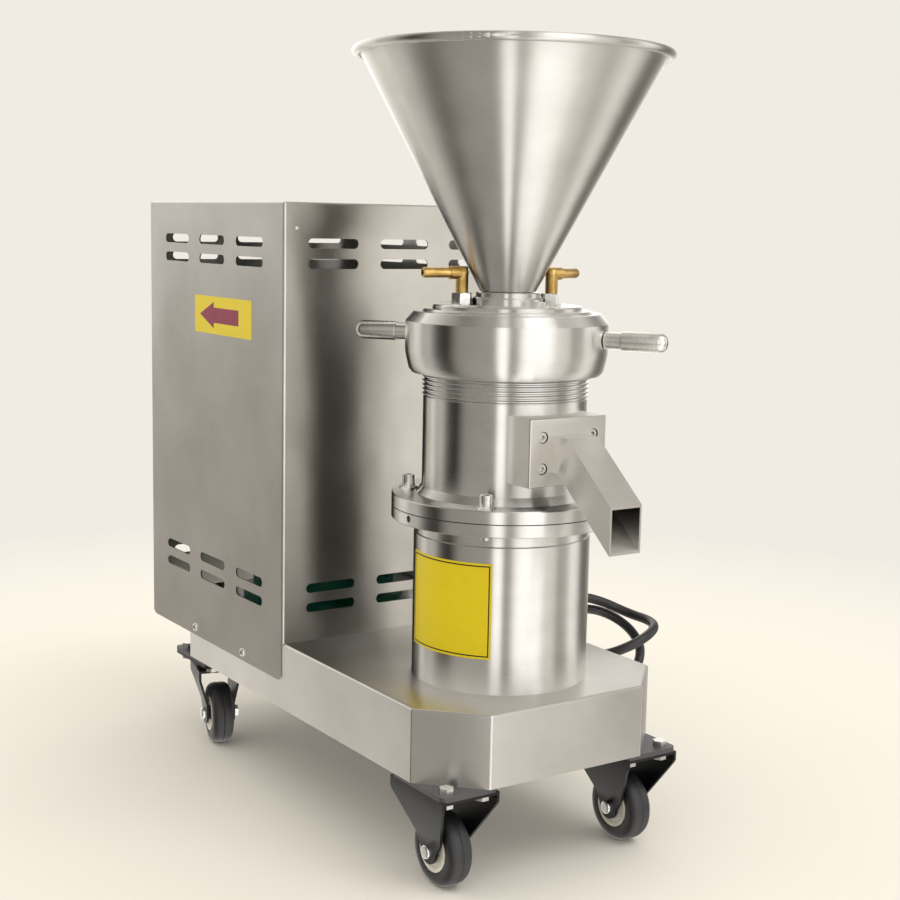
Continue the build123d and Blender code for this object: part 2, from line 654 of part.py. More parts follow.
def motor_flange():
    bottom = BASE_TOP
    top = bottom + MOTOR_FLANGE_HEIGHT
    body = turned([
        (MOTOR_SHAFT_RADIUS + CLEAR, bottom), (MOTOR_FLANGE_RADIUS, bottom), (MOTOR_FLANGE_RADIUS, top - 3),
        (MOTOR_BODY_RADIUS - 2, top), (MOTOR_SHAFT_RADIUS + CLEAR, top),
    ], 0, MOTOR_Y)
    hole = cylinder(BOLT_SIZES["M8"][0] + CLEAR, bottom, top)
    return body - [place * hole for place in motor_bolt_places()]


def motor_frame():
    bottom = BASE_TOP + MOTOR_FLANGE_HEIGHT
    body = cylinder(MOTOR_BODY_RADIUS, bottom, MOTOR_FRAME_TOP)
    fin = box(MOTOR_BODY_RADIUS - 2, MOTOR_FIN_RADIUS, -MOTOR_FIN_THICKNESS / 2,
              MOTOR_FIN_THICKNESS / 2, bottom + 22, MOTOR_FRAME_TOP - 14)
    body = body + [Rot(0, 0, i * 360 / MOTOR_FIN_COUNT) * fin for i in range(MOTOR_FIN_COUNT)]
    bore = cylinder(MOTOR_SHAFT_RADIUS + CLEAR, bottom, MOTOR_FRAME_TOP)
    return Pos(0, MOTOR_Y, 0) * (body - bore)


def fan_cowl():
    bottom = MOTOR_FRAME_TOP
    top = bottom + FAN_COWL_HEIGHT
    r = FAN_COWL_RADIUS
    cowl = turned([
        (MOTOR_BODY_RADIUS - 3, bottom), (r, bottom), (r, top - 14), (r - 14, top), (0, top),
        (0, top - 2), (r - 15, top - 2), (r - 2, top - 15), (r - 2, bottom + 2),
        (MOTOR_BODY_RADIUS - 3, bottom + 2),
    ])
    slot = box(24, r - 22, -2.5, 2.5, top - 5, top + 1)
    cowl = cowl - [Rot(0, 0, i * 30) * slot for i in range(12)]
    return Pos(0, MOTOR_Y, 0) * cowl


def terminal_box():
    inner = MOTOR_FIN_RADIUS
    outer = BASE_WIDTH / 2 - TERMINAL_BOX_CLEARANCE - TERMINAL_LID
    half = TERMINAL_BOX_LENGTH / 2
    low = TERMINAL_BOX_MIDDLE - half
    high = TERMINAL_BOX_MIDDLE + half
    case = box(inner, outer, -half, half, low, high)
    case = fillet(case.edges().filter_by(Axis.X), 6)
    lid = box(outer, outer + TERMINAL_LID, -half - 2, half + 2, low - 2, high + 2)
    lid = fillet(lid.edges().filter_by(Axis.X), 7)
    return Pos(0, MOTOR_Y, 0) * (case + lid)


def motor_shaft():
    bottom = PULLEY_MIDDLE - PULLEY_WIDTH / 2 - 4
    shaft = cylinder(MOTOR_SHAFT_RADIUS, bottom, MOTOR_FRAME_TOP + MOTOR_SHAFT_TAIL)
    shaft = chamfer(shaft.edges().sort_by(Axis.Z)[0], 1.5)
    return Pos(0, MOTOR_Y, 0) * shaft


def cooling_fan():
    bottom = MOTOR_FRAME_TOP + 22
    top = bottom + FAN_HEIGHT
    fan = cylinder(FAN_HUB_RADIUS, bottom, top) + cylinder(FAN_RADIUS, bottom, bottom + FAN_DISC)
    blade = box(FAN_HUB_RADIUS - 4, FAN_RADIUS, -FAN_DISC / 2, FAN_DISC / 2, bottom, top - 2)
    fan = fan + [Rot(0, 0, i * 45) * blade for i in range(8)]
    return Pos(0, MOTOR_Y, 0) * (fan - cylinder(MOTOR_SHAFT_RADIUS + RUNNING, bottom, top))


def belt_section(radius, grow=0.0):
    """Half width at the belt's back and at its inner face, with their radii, for a pitch radius."""
    back = radius + BELT_HEIGHT * 0.35
    inner = back - BELT_HEIGHT
    back_half = BELT_TOP_WIDTH / 2 + grow
    inner_half = back_half - BELT_HEIGHT * math.tan(math.radians(BELT_HALF_ANGLE))
    return back, inner, back_half, inner_half


def pulley(radius, bore, hub_radius):
    """Two groove V belt pulley about the origin."""
    half = PULLEY_WIDTH / 2
    back, inner, back_half, inner_half = belt_section(radius, BELT_CLEARANCE)
    rim = back - 0.6
    rim_half = back_half - (back - rim) * math.tan(math.radians(BELT_HALF_ANGLE))
    root = inner - 1.5
    points = [(bore, -half), (rim, -half)]
    for middle in (-BELT_PITCH / 2, BELT_PITCH / 2):
        points += [
            (rim, middle - rim_half), (root, middle - inner_half + 0.4),
            (root, middle + inner_half - 0.4), (rim, middle + rim_half),
        ]
    points += [(rim, half), (hub_radius + 8, half), (hub_radius + 8, half - 6), (hub_radius, half - 6),
               (hub_radius, half), (bore, half)]
    return Pos(0, 0, PULLEY_MIDDLE) * turned(points)


def drive_belts():
    """Two V belts round both pulleys: straight runs tangent to the arcs at each end."""
    slope = math.degrees(math.asin((MOTOR_PULLEY_RADIUS - MILL_PULLEY_RADIUS) / MOTOR_Y))
    belts = []
    for middle in (-BELT_PITCH / 2, BELT_PITCH / 2):
        pieces = []
        for radius, y, arc, start in (
            (MILL_PULLEY_RADIUS, 0.0, 180 - 2 * slope, 180 + slope),
            (MOTOR_PULLEY_RADIUS, MOTOR_Y, 180 + 2 * slope, -slope),
        ):
            back, inner, back_half, inner_half = belt_section(radius)
            points = [(back, -back_half), (back, back_half), (inner, inner_half), (inner, -inner_half)]
            face = make_face(Polyline(*[(r, 0, z) for r, z in points], close=True))
            pieces.append(Pos(0, y, 0) * Rot(0, 0, start) * revolve(face, Axis.Z, arc))
            length = math.sqrt(MOTOR_Y ** 2 - (MOTOR_PULLEY_RADIUS - MILL_PULLEY_RADIUS) ** 2)
            if y == 0.0:
                for turn, way in ((180 + slope, -1), (-slope, 1)):
                    run = extrude(face, length, dir=(0, way, 0))
                    pieces.append(Rot(0, 0, turn) * run)
        belt = pieces[0]
        for piece in pieces[1:]:
            belt = belt + piece
        belts.append(Pos(0, 0, PULLEY_MIDDLE + middle) * belt)
    return Compound(children=belts)


# Head: bearings and spindle

LOWER_BEARING = BASE_TOP + 6
UPPER_BEARING = LOWER_FLANGE_BOTTOM - 8 - BEARING_WIDTH


def bearing_housing():
    seat = BEARING_OUTSIDE / 2 + RUNNING
    shoulder = seat - 4
    neck = LOWER_FLANGE_BOTTOM - HOUSING_NECK_HEIGHT
    profile = [
        (seat, BASE_TOP), (HOUSING_RADIUS, BASE_TOP), (HOUSING_RADIUS, neck),
        (HOUSING_NECK_RADIUS, neck + 1), (HOUSING_NECK_RADIUS, LOWER_FLANGE_BOTTOM),
        (FLANGE_RADIUS - 1, LOWER_FLANGE_BOTTOM), (FLANGE_RADIUS, LOWER_FLANGE_BOTTOM + 1),
        (FLANGE_RADIUS, GASKET_BOTTOM), (BEARING_CAP_RADIUS + RUNNING, GASKET_BOTTOM),
        (BEARING_CAP_RADIUS + RUNNING, UPPER_BEARING + BEARING_WIDTH), (seat, UPPER_BEARING + BEARING_WIDTH),
        (seat, UPPER_BEARING), (shoulder, UPPER_BEARING), (shoulder, UPPER_BEARING - 8),
        (HOUSING_CAVITY_RADIUS, UPPER_BEARING - 16), (HOUSING_CAVITY_RADIUS, BASE_TOP + HOUSING_FLOOR + 14),
        (shoulder, BASE_TOP + HOUSING_FLOOR + 4), (shoulder, LOWER_BEARING + BEARING_WIDTH),
        (seat, LOWER_BEARING + BEARING_WIDTH),
    ]
    body = turned(profile)
    holes = [place * cylinder(BOLT_SIZES["M8"][0] + RUNNING, LOWER_FLANGE_BOTTOM - 1, GASKET_BOTTOM + 1)
             for place in flange_bolt_places()]
    holes += [place * cylinder(BOLT_SIZES["M8"][0] + RUNNING, BASE_TOP, BASE_TOP + HEAD_BOLT_GRIP + 4)
              for place in head_bolt_places()]
    pry = Rot(0, 90, 0) * Cylinder(PRY_HOLE_RADIUS, 2 * PRY_HOLE_DEPTH)
    pry = Pos(-FLANGE_RADIUS, 0, GASKET_BOTTOM - 5) * pry
    return body - holes - pry


def flange_bolt_places():
    return around(FLANGE_BOLT_COUNT, FLANGE_BOLT_CIRCLE / 2, FLANGE_BOLT_ANGLE)


def deck_bolts():
    """Bolts that hold the head and the motor down from below the deck."""
    bottom = BASE_TOP - BASE_SHEET - DECK_PLATE
    made = []
    motor_grip = MOTOR_FLANGE_HEIGHT - 2
    for places, grip in ((head_bolt_places(), HEAD_BOLT_GRIP), (motor_bolt_places(), motor_grip)):
        bolt = hex_bolt("M8", DECK_PLATE + BASE_SHEET + grip, head_at_top=False)
        made += [Pos(0, 0, bottom) * place * bolt for place in places]
    return Compound(children=made)


def race(inner_radius, bottom):
    """One bearing race, a plain ring."""
    outer_radius = inner_radius + BEARING_RING
    top = bottom + BEARING_WIDTH
    return turned([(inner_radius, bottom), (outer_radius, bottom), (outer_radius, top), (inner_radius, top)])


def inner_races():
    seats = (LOWER_BEARING, UPPER_BEARING)
    return Compound(children=[race(BEARING_BORE / 2 + RUNNING, bottom) for bottom in seats])


def outer_races_and_cages():
    """The races that stay still, each with its cage of balls drawn as one ring."""
    r0 = BEARING_BORE / 2 + RUNNING + BEARING_RING + CLEAR
    r1 = BEARING_OUTSIDE / 2 - BEARING_RING - CLEAR
    made = []
    for seat in (LOWER_BEARING, UPPER_BEARING):
        made.append(race(BEARING_OUTSIDE / 2 - BEARING_RING, seat))
        bottom = seat + 2
        top = seat + BEARING_WIDTH - 2
        made.append(turned([(r0, bottom + 3), (r0 + 3, bottom), (r1 - 3, bottom), (r1, bottom + 3),
                            (r1, top - 3), (r1 - 3, top), (r0 + 3, top), (r0, top - 3)]))
    return Compound(children=made)


def upper_bearing_cap():
    """Cap over the upper bearing with the lip that keeps the product out."""
    bottom = UPPER_BEARING + BEARING_WIDTH + CLEAR
    top = bottom + BEARING_CAP_HEIGHT
    bore = BEARING_BORE / 2 + CLEAR
    return turned([
        (bore, bottom + 4), (BEARING_OUTSIDE / 2 - 4, bottom), (BEARING_CAP_RADIUS, bottom),
        (BEARING_CAP_RADIUS, top), (bore, top),
    ])


def spindle():
    r = BEARING_BORE / 2
    end = SPINDLE_END_RADIUS
    top = SPINDLE_TOP_RADIUS
    points = [
        (0, SPINDLE_BOTTOM), (end - 1, SPINDLE_BOTTOM), (end, SPINDLE_BOTTOM + 1), (end, LOWER_BEARING - 14),
        (r - 1, LOWER_BEARING - 14), (r, LOWER_BEARING - 13), (r, LOWER_BEARING + BEARING_WIDTH),
        (SPINDLE_MIDDLE_RADIUS, LOWER_BEARING + BEARING_WIDTH), (SPINDLE_MIDDLE_RADIUS, UPPER_BEARING),
        (r, UPPER_BEARING), (r, ROTOR_BOTTOM), (top, ROTOR_BOTTOM), (top, ROTOR_BOTTOM + ROTOR_HEIGHT + 14),
        (0, ROTOR_BOTTOM + ROTOR_HEIGHT + 14),
    ]
    return turned(points)


def pulley_nut():
    height = 7.0
    bottom = PULLEY_MIDDLE - PULLEY_WIDTH / 2 - height
    nut = hexagon(PULLEY_NUT_FLATS, height) - cylinder(SPINDLE_END_RADIUS + RUNNING, 0, height)
    return Pos(0, 0, bottom) * nut


def shaft_seal(turning):
    """Face seal in the floor of the mill housing: a seat that stays and a face that turns."""
    floor = MILL_BOTTOM + MILL_FLOOR
    bore = BEARING_BORE / 2
    if turning:
        return turned([(bore + RUNNING, floor + 4), (27, floor + 4), (27, floor + 10), (23, floor + 26),
                       (bore + RUNNING, floor + 26)])
    return turned([(bore + CLEAR, floor - 8), (30, floor - 8), (30, floor + 2), (25, floor + 4 - RUNNING),
                   (bore + CLEAR, floor + 4 - RUNNING)])


# Head: rotor and stator


def cone_radius(height, outward=0.0):
    """Radius of the milling cone at a height, moved outward square to its surface."""
    slope = (ROTOR_LOWER_RADIUS - ROTOR_UPPER_RADIUS) / ROTOR_HEIGHT
    offset = outward * math.sqrt(1 + slope ** 2)
    return ROTOR_LOWER_RADIUS - slope * (height - ROTOR_BOTTOM) + offset


def tooth_grooves(outward, depth_out, depth_in):
    """Slanted grooves round the milling cone: few wide ones above, many narrow ones below."""
    top = ROTOR_BOTTOM + ROTOR_HEIGHT
    split = top - COARSE_SHARE * ROTOR_HEIGHT
    lean = math.degrees(math.atan((ROTOR_LOWER_RADIUS - ROTOR_UPPER_RADIUS) / ROTOR_HEIGHT))
    grooves = []
    for count, low, high, share in (
        (COARSE_TEETH, split + 1.5, top + 4, 0.42), (FINE_TEETH, ROTOR_BOTTOM - 2, split - 1.5, 0.45),
    ):
        middle = (low + high) / 2
        radius = cone_radius(middle, outward)
        width = share * 2 * math.pi * radius / count
        length = (high - low) / math.cos(math.radians(lean)) / math.cos(math.radians(TOOTH_SLANT))
        tool = Pos((depth_out - depth_in) / 2, 0, 0) * Box(depth_out + depth_in, width, length)
        tool = Pos(radius, 0, middle) * Rot(0, -lean, 0) * Rot(TOOTH_SLANT, 0, 0) * tool
        grooves += [Rot(0, 0, i * 360 / count) * tool for i in range(count)]
    return grooves


def rotor():
    top = ROTOR_BOTTOM + ROTOR_HEIGHT
    bore = SPINDLE_TOP_RADIUS + RUNNING
    skirt = ROTOR_BOTTOM - ROTOR_SKIRT
    skirt_bore = BEARING_BORE / 2 + CLEAR
    cone = turned([
        (skirt_bore, skirt), (ROTOR_LOWER_RADIUS - 7, skirt), (ROTOR_LOWER_RADIUS, ROTOR_BOTTOM),
        (cone_radius(top), top), (bore, top), (bore, ROTOR_BOTTOM), (skirt_bore, ROTOR_BOTTOM),
    ])
    return cone - tooth_grooves(0, 3, GROOVE_DEPTH)


def stator():
    bottom = CARRIER_BOTTOM
    top = ROTOR_BOTTOM + ROTOR_HEIGHT
    ring = turned([
        (cone_radius(bottom, MILLING_GAP), bottom), (STATOR_RADIUS, bottom), (STATOR_RADIUS, top),
        (cone_radius(top, MILLING_GAP), top),
    ])
    return ring - tooth_grooves(MILLING_GAP, 2.2, 3)


def rotor_nut():
    """Cone nut that holds the rotor down and feeds the nuts outwards with three vanes."""
    bottom = ROTOR_BOTTOM + ROTOR_HEIGHT
    nut = turned([(SPINDLE_TOP_RADIUS + RUNNING, bottom), (24, bottom), (19, bottom + 8), (8, bottom + 22),
                  (0, bottom + 24), (0, bottom + 15), (SPINDLE_TOP_RADIUS + RUNNING, bottom + 15)])
    vane = Pos(16, 0, bottom + 6) * Rot(0, 0, 25) * Box(14, 4, 12)
    keep = cylinder(23, bottom, bottom + 20) - cylinder(SPINDLE_TOP_RADIUS + RUNNING, bottom, bottom + 15)
    vanes = [Rot(0, 0, i * 120) * vane & keep for i in range(3)]
    return nut + vanes


# Head: mill housing, ring and lid


def thread_profile():
    """Ridges of the adjusting thread from its foot up."""
    points = []
    root = THREAD_CREST_RADIUS - THREAD_DEPTH
    for i in range(THREAD_TURNS):
        z = MILL_BODY_TOP + i * THREAD_PITCH
        points += [(root, z), (root, z + 0.25 * THREAD_PITCH), (THREAD_CREST_RADIUS, z + 0.5 * THREAD_PITCH),
                   (THREAD_CREST_RADIUS, z + 0.75 * THREAD_PITCH)]
    points.append((root, THREAD_TOP))
    return points


def outlet_passage(inset=0.0):
    """The square way out through the housing wall and the block."""
    half = CHUTE_WIDTH / 2 - CHUTE_WALL - inset
    low = CHUTE_TOP - CHUTE_HEIGHT + CHUTE_WALL + inset
    high = CHUTE_TOP - CHUTE_WALL - inset
    return box(-half, half, -BLOCK_FRONT - 1, -CHAMBER_RADIUS + 12, low, high)


def block_screw_places():
    places = []
    for x in (-BLOCK_SCREW_WIDTH / 2, BLOCK_SCREW_WIDTH / 2):
        for z in (-BLOCK_SCREW_RISE / 2, BLOCK_SCREW_RISE / 2):
            places.append(Pos(x, -BLOCK_FRONT, BLOCK_SCREW_MIDDLE + z) * Rot(90, 0, 0))
    return places


def mill_housing():
    floor = MILL_BOTTOM + MILL_FLOOR
    chamber_top = floor + CHAMBER_HEIGHT
    seal = 30 + RUNNING
    profile = [
        (seal, MILL_BOTTOM), (FLANGE_RADIUS, MILL_BOTTOM), (FLANGE_RADIUS, MILL_FLANGE_TOP - 1),
        (FLANGE_RADIUS - 1, MILL_FLANGE_TOP), (MILL_FOOT_RADIUS, MILL_FLANGE_TOP),
        (MILL_RADIUS, MILL_FLANGE_TOP + MILL_FOOT_HEIGHT), (MILL_RADIUS, MILL_BODY_TOP),
    ]
    profile += thread_profile()
    profile += [
        (CARRIER_RADIUS, THREAD_TOP), (CARRIER_RADIUS, chamber_top), (CHAMBER_RADIUS, chamber_top),
        (CHAMBER_RADIUS, floor), (seal, floor),
    ]
    body = turned(profile)
    holes = [place * cylinder(BOLT_SIZES["M8"][0] + CLEAR, MILL_BOTTOM - 1, MILL_FLANGE_TOP + 1)
             for place in flange_bolt_places()]
    tapped = BLOCK_SCREW_SINK + BLOCK_SCREW_LENGTH
    holes += [place * cylinder(3 + RUNNING, -tapped - 1, -tapped / 2) for place in block_screw_places()]
    return body - holes - outlet_passage()


def flange_gasket():
    ring = turned([(BEARING_CAP_RADIUS + 4, GASKET_BOTTOM), (FLANGE_RADIUS - 1, GASKET_BOTTOM),
                   (FLANGE_RADIUS - 1, MILL_BOTTOM), (BEARING_CAP_RADIUS + 4, MILL_BOTTOM)])
    return ring - [place * cylinder(BOLT_SIZES["M8"][0] + CLEAR, GASKET_BOTTOM, MILL_BOTTOM)
                   for place in flange_bolt_places()]


def flange_washers():
    """A flat washer and a spring washer under each flange bolt."""
    washer = cylinder(9.5, 0, WASHER_FLAT) + cylinder(7.2, WASHER_FLAT, WASHER_STACK)
    washer = washer - cylinder(BOLT_SIZES["M8"][0] + RUNNING, 0, WASHER_STACK)
    washer = Pos(0, 0, MILL_FLANGE_TOP) * washer
    return Compound(children=[place * washer for place in flange_bolt_places()])


def flange_bolts():
    shank = WASHER_STACK + UPPER_FLANGE + FLANGE_GASKET + LOWER_FLANGE + FLANGE_BOLT_TAIL
    screw = Pos(0, 0, MILL_FLANGE_TOP + WASHER_STACK) * socket_screw(4.0, 6.5, 9.6, shank)
    return Compound(children=[place * screw for place in flange_bolt_places()])


def adjusting_ring():
    bore = THREAD_CREST_RADIUS + CLEAR
    lip = CARRIER_RADIUS + CLEAR
    seat = CARRIER_FLANGE_RADIUS + CLEAR
    outline = [
        (bore, RING_BOTTOM), (RING_LOWER_RADIUS, RING_BOTTOM), (RING_LOWER_RADIUS + 3.2, RING_BOTTOM + 4),
        (RING_RADIUS - 1.2, RING_BAND_BOTTOM - 7), (RING_RADIUS, RING_BAND_BOTTOM),
        (RING_RADIUS, RING_BAND_TOP), (RING_TOP_RADIUS, RING_TOP), (seat, RING_TOP), (seat, CARRIER_SEAT),
        (lip, CARRIER_SEAT),
        (lip, RING_LIP_BOTTOM), (bore, RING_LIP_BOTTOM),
    ]
    ring = turned(outline)
    for place in handle_places():
        ring = ring - place * Pos(0, 0, RING_RADIUS - HANDLE_TENON_LENGTH / 2) * Cylinder(
            HANDLE_TENON_RADIUS + RUNNING, HANDLE_TENON_LENGTH + 4)
    return ring


def handle_places():
    """Frames at the head axis with Z pointing out along each handle."""
    return [Pos(0, 0, HANDLE_HEIGHT) * Rot(0, 0, HANDLE_ANGLE + turn) * Rot(0, 90, 0) for turn in (0, 180)]


def handle_rods():
    foot = RING_RADIUS
    tenon_foot = foot - HANDLE_TENON_LENGTH
    rod = cylinder(HANDLE_ROD_RADIUS, foot + 0.5, foot + HANDLE_ROD_LENGTH)
    rod = rod + cylinder(HANDLE_TENON_RADIUS, tenon_foot, foot + HANDLE_ROD_LENGTH + HANDLE_TENON_REACH)
    return Compound(children=[place * rod for place in handle_places()])


def handle_grips():
    foot = RING_RADIUS + HANDLE_ROD_LENGTH
    tip = HANDLE_REACH
    r = GRIP_RADIUS
    bore = HANDLE_TENON_RADIUS + RUNNING
    blind = foot + HANDLE_TENON_REACH + 0.5
    grip = turned([
        (bore, foot), (r - 0.8, foot), (r, foot + 0.8), (r, tip - 8), (r - 1.2, tip - 4),
        (r - 4, tip - 1), (r - 7, tip), (0, tip), (0, blind), (bore, blind),
    ])
    return Compound(children=[place * grip for place in handle_places()])


def elbow_places():
    return {side: Rot(0, 0, angle) * Pos(ELBOW_RADIUS_OUT, 0, 0) for side, angle in ELBOW_ANGLES.items()}


def cover_bolt_places():
    return [Rot(0, 0, angle) * Pos(COVER_BOLT_RADIUS, 0, 0) for angle in COVER_BOLT_ANGLES]


def stator_carrier():
    """Lid and skirt that hold the stator, with the water channel that the cover plate closes."""
    r = CARRIER_RADIUS - SLIDING
    seat = ROTOR_BOTTOM + ROTOR_HEIGHT + RUNNING
    bore = SLEEVE_RADIUS + RUNNING
    body = turned([
        (STATOR_RADIUS + RUNNING, CARRIER_BOTTOM), (r, CARRIER_BOTTOM), (r, CARRIER_SEAT + SLIDING),
        (CARRIER_FLANGE_RADIUS, CARRIER_SEAT + SLIDING), (CARRIER_FLANGE_RADIUS, CARRIER_TOP - 1.5),
        (CARRIER_FLANGE_RADIUS - 1.5, CARRIER_TOP), (JACKET_RADIUS, CARRIER_TOP),
        (JACKET_RADIUS, JACKET_BOTTOM), (bore, JACKET_BOTTOM), (bore, seat), (STATOR_RADIUS + RUNNING, seat),
    ])
    holes = [place * cylinder(BOLT_SIZES["M8"][0] + RUNNING, CARRIER_TOP - 14, CARRIER_TOP + 1)
             for place in cover_bolt_places()]
    return body - holes


def throat_sleeve():
    """Sleeve in the floor of the lid: the way down to the rotor, cleared where the rotor turns."""
    top = ROTOR_BOTTOM + ROTOR_HEIGHT
    relief = top + LID_RELIEF
    eye = cone_radius(top, MILLING_GAP)
    return turned([
        (THROAT_RADIUS, relief), (eye, relief), (eye, top + RUNNING), (SLEEVE_RADIUS, top + RUNNING),
        (SLEEVE_RADIUS, CARRIER_TOP), (THROAT_RADIUS, CARRIER_TOP),
    ])


def cover_plate():
    plate = turned([(THROAT_RADIUS, CARRIER_TOP), (COVER_PLATE_RADIUS, CARRIER_TOP),
                    (COVER_PLATE_RADIUS, COVER_PLATE_TOP - 1), (COVER_PLATE_RADIUS - 1, COVER_PLATE_TOP),
                    (THROAT_RADIUS, COVER_PLATE_TOP)])
    port = cylinder(WATER_BORE_RADIUS, CARRIER_TOP, COVER_PLATE_TOP)
    ports = [place * port for place in elbow_places().values()]
    holes = [place * cylinder(BOLT_SIZES["M8"][0] + RUNNING, CARRIER_TOP, COVER_PLATE_TOP)
             for place in cover_bolt_places()]
    return plate - ports - holes


def cover_bolts():
    bolt = hex_bolt("M8", COVER_PLATE_HEIGHT + 12)
    return Compound(children=[Pos(0, 0, COVER_PLATE_TOP) * place * bolt for place in cover_bolt_places()])


def hopper_neck():
    bore = HOPPER_SPIGOT_RADIUS + CLEAR
    bottom = COVER_PLATE_TOP
    step = bottom + NECK_HEIGHT
    return turned([
        (bore, bottom), (NECK_RADIUS, bottom), (NECK_RADIUS, step - 1.5), (NECK_RADIUS - 1.5, step),
        (NECK_RING_RADIUS, step), (NECK_RING_RADIUS, NECK_TOP - 0.8), (NECK_RING_RADIUS - 0.8, NECK_TOP),
        (bore, NECK_TOP),
    ])


def elbow_nuts():
    top = ELBOW_NUT_HEIGHT
    nut = hexagon(ELBOW_NUT_FLATS, top) - cylinder(ELBOW_BODY_RADIUS + RUNNING, 0, top)
    nut = nut & turned([(0, 0), (10.2, 0), (11.2, 1), (11.2, top - 1.2), (9.4, top), (0, top)])
    nut = Pos(0, 0, COVER_PLATE_TOP) * nut
    turns = {"left": 12, "right": 35}
    return Compound(children=[place * Rot(0, 0, turns[side]) * nut for side, place in elbow_places().items()])


def water_elbow(side):
    """Brass elbow: an upright leg, a mitred knee and a ribbed hose tail."""
    bottom = COVER_PLATE_TOP
    z = ELBOW_AXIS_HEIGHT
    r = ELBOW_BODY_RADIUS
    tail_start = HOSE_TAIL_REACH - HOSE_TAIL_LENGTH
    t = HOSE_TAIL_RADIUS
    leg = cylinder(r - 0.3, bottom, z) + Pos(0, 0, z) * Sphere(r)
    body = cylinder(r, 0, tail_start)
    tail = turned([
        (0, tail_start), (t, tail_start), (t, HOSE_TAIL_REACH - HOSE_TAIL_LEAD),
        (t - 0.8, HOSE_TAIL_REACH), (0, HOSE_TAIL_REACH),
    ])
    out = Pos(0, 0, z) * Rot(0, 0, ELBOW_HEADINGS[side] - ELBOW_ANGLES[side]) * Rot(0, 90, 0)
    bore = cylinder(WATER_BORE_RADIUS, bottom, z) + out * cylinder(WATER_BORE_RADIUS, 0, HOSE_TAIL_REACH)
    return elbow_places()[side] * (leg + out * (body + tail) - bore)


# Hopper, outlet block and chute


def hopper():
    slope = (HOPPER_MOUTH_RADIUS - HOPPER_LOWER_RADIUS) / (HOPPER_TOP - RIM_BEAD_RADIUS - HOPPER_BOTTOM)
    wall = HOPPER_SHEET * math.sqrt(1 + slope ** 2)
    top = HOPPER_TOP - RIM_BEAD_RADIUS
    spigot_foot = HOPPER_BOTTOM - HOPPER_SPIGOT_LENGTH
    inner = HOPPER_SPIGOT_RADIUS - HOPPER_SHEET
    cone = turned([
        (inner, spigot_foot), (HOPPER_SPIGOT_RADIUS, spigot_foot), (HOPPER_SPIGOT_RADIUS, HOPPER_BOTTOM),
        (HOPPER_LOWER_RADIUS, HOPPER_BOTTOM), (HOPPER_MOUTH_RADIUS, top), (HOPPER_MOUTH_RADIUS - wall, top),
        (HOPPER_LOWER_RADIUS - wall, HOPPER_BOTTOM), (inner, HOPPER_BOTTOM - 1),
    ])
    bead = Pos(0, 0, top) * Torus(HOPPER_MOUTH_RADIUS + RIM_BEAD_RADIUS - HOPPER_SHEET, RIM_BEAD_RADIUS)
    return cone + bead


def outlet_block():
    half = BLOCK_WIDTH / 2
    block = box(-half, half, -BLOCK_FRONT, -BLOCK_ROOT, BLOCK_BOTTOM, BLOCK_BOTTOM + BLOCK_HEIGHT)
    front_edges = block.faces().sort_by(Axis.Y)[0].edges()
    block = fillet(front_edges, BLOCK_EDGE)
    block = block - cylinder(MILL_RADIUS + RUNNING, BLOCK_BOTTOM - 1, BLOCK_BOTTOM + BLOCK_HEIGHT + 1)
    block = block - outlet_passage()
    holes = []
    for place in block_screw_places():
        holes.append(place * cylinder(5.8, -BLOCK_SCREW_SINK, 1))
        holes.append(place * cylinder(3 + CLEAR, BLOCK_ROOT - BLOCK_FRONT, 0))
    return block - holes


def outlet_screws():
    screw = Pos(0, 0, -BLOCK_SCREW_SINK) * socket_screw(3.0, 5.0, 6.0, BLOCK_SCREW_LENGTH)
    return Compound(children=[place * screw for place in block_screw_places()])


def chute_section(inset):
    """Side view of the chute, a level stub and a slope cut upright at the mouth."""
    fall = math.tan(math.radians(CHUTE_SLOPE))
    knee = math.tan(math.radians(CHUTE_SLOPE / 2))
    top = CHUTE_TOP - inset
    bottom = CHUTE_TOP - CHUTE_HEIGHT + inset
    bend_top = -(CHUTE_BEND - inset * knee)
    bend_bottom = -(CHUTE_BEND - (CHUTE_HEIGHT - inset) * knee)
    mouth = -CHUTE_MOUTH
    root = -BLOCK_FRONT
    points = [
        (root, top), (bend_top, top), (mouth, top - (bend_top - mouth) * fall),
        (mouth, bottom - (bend_bottom - mouth) * fall), (bend_bottom, bottom), (root, bottom),
    ]
    return make_face(Polyline(*[(0, y, z) for y, z in points], close=True))


def discharge_chute():
    outer = extrude(chute_section(0), CHUTE_WIDTH / 2, dir=(1, 0, 0), both=True)
    inner = extrude(chute_section(CHUTE_WALL), CHUTE_WIDTH / 2 - CHUTE_WALL, dir=(1, 0, 0), both=True)
    return outer - inner


# Power cord


def cord_gland():
    """Gland through the cover: lock nut, hexagon, domed nut and tapered nose, along -Y."""
    inside = COVER_SHEET + 5
    body = cylinder(GLAND_THREAD_RADIUS, -inside, 0)
    lock = Pos(0, 0, -COVER_SHEET - 4) * hexagon(GLAND_FLATS, 4)
    hexagon_part = hexagon(GLAND_FLATS, 6)
    nose = turned([
        (0, 6), (GLAND_FLATS / 2 - 0.8, 6), (GLAND_FLATS / 2 - 0.8, 13), (GLAND_FLATS / 2 - 3, 16),
        (CORD_RADIUS + 3, 17), (CORD_RADIUS + 1, GLAND_REACH), (0, GLAND_REACH),
    ])
    return Pos(GLAND_X, COVER_FRONT, GLAND_HEIGHT) * Rot(90, 0, 0) * (body + lock + hexagon_part + nose)


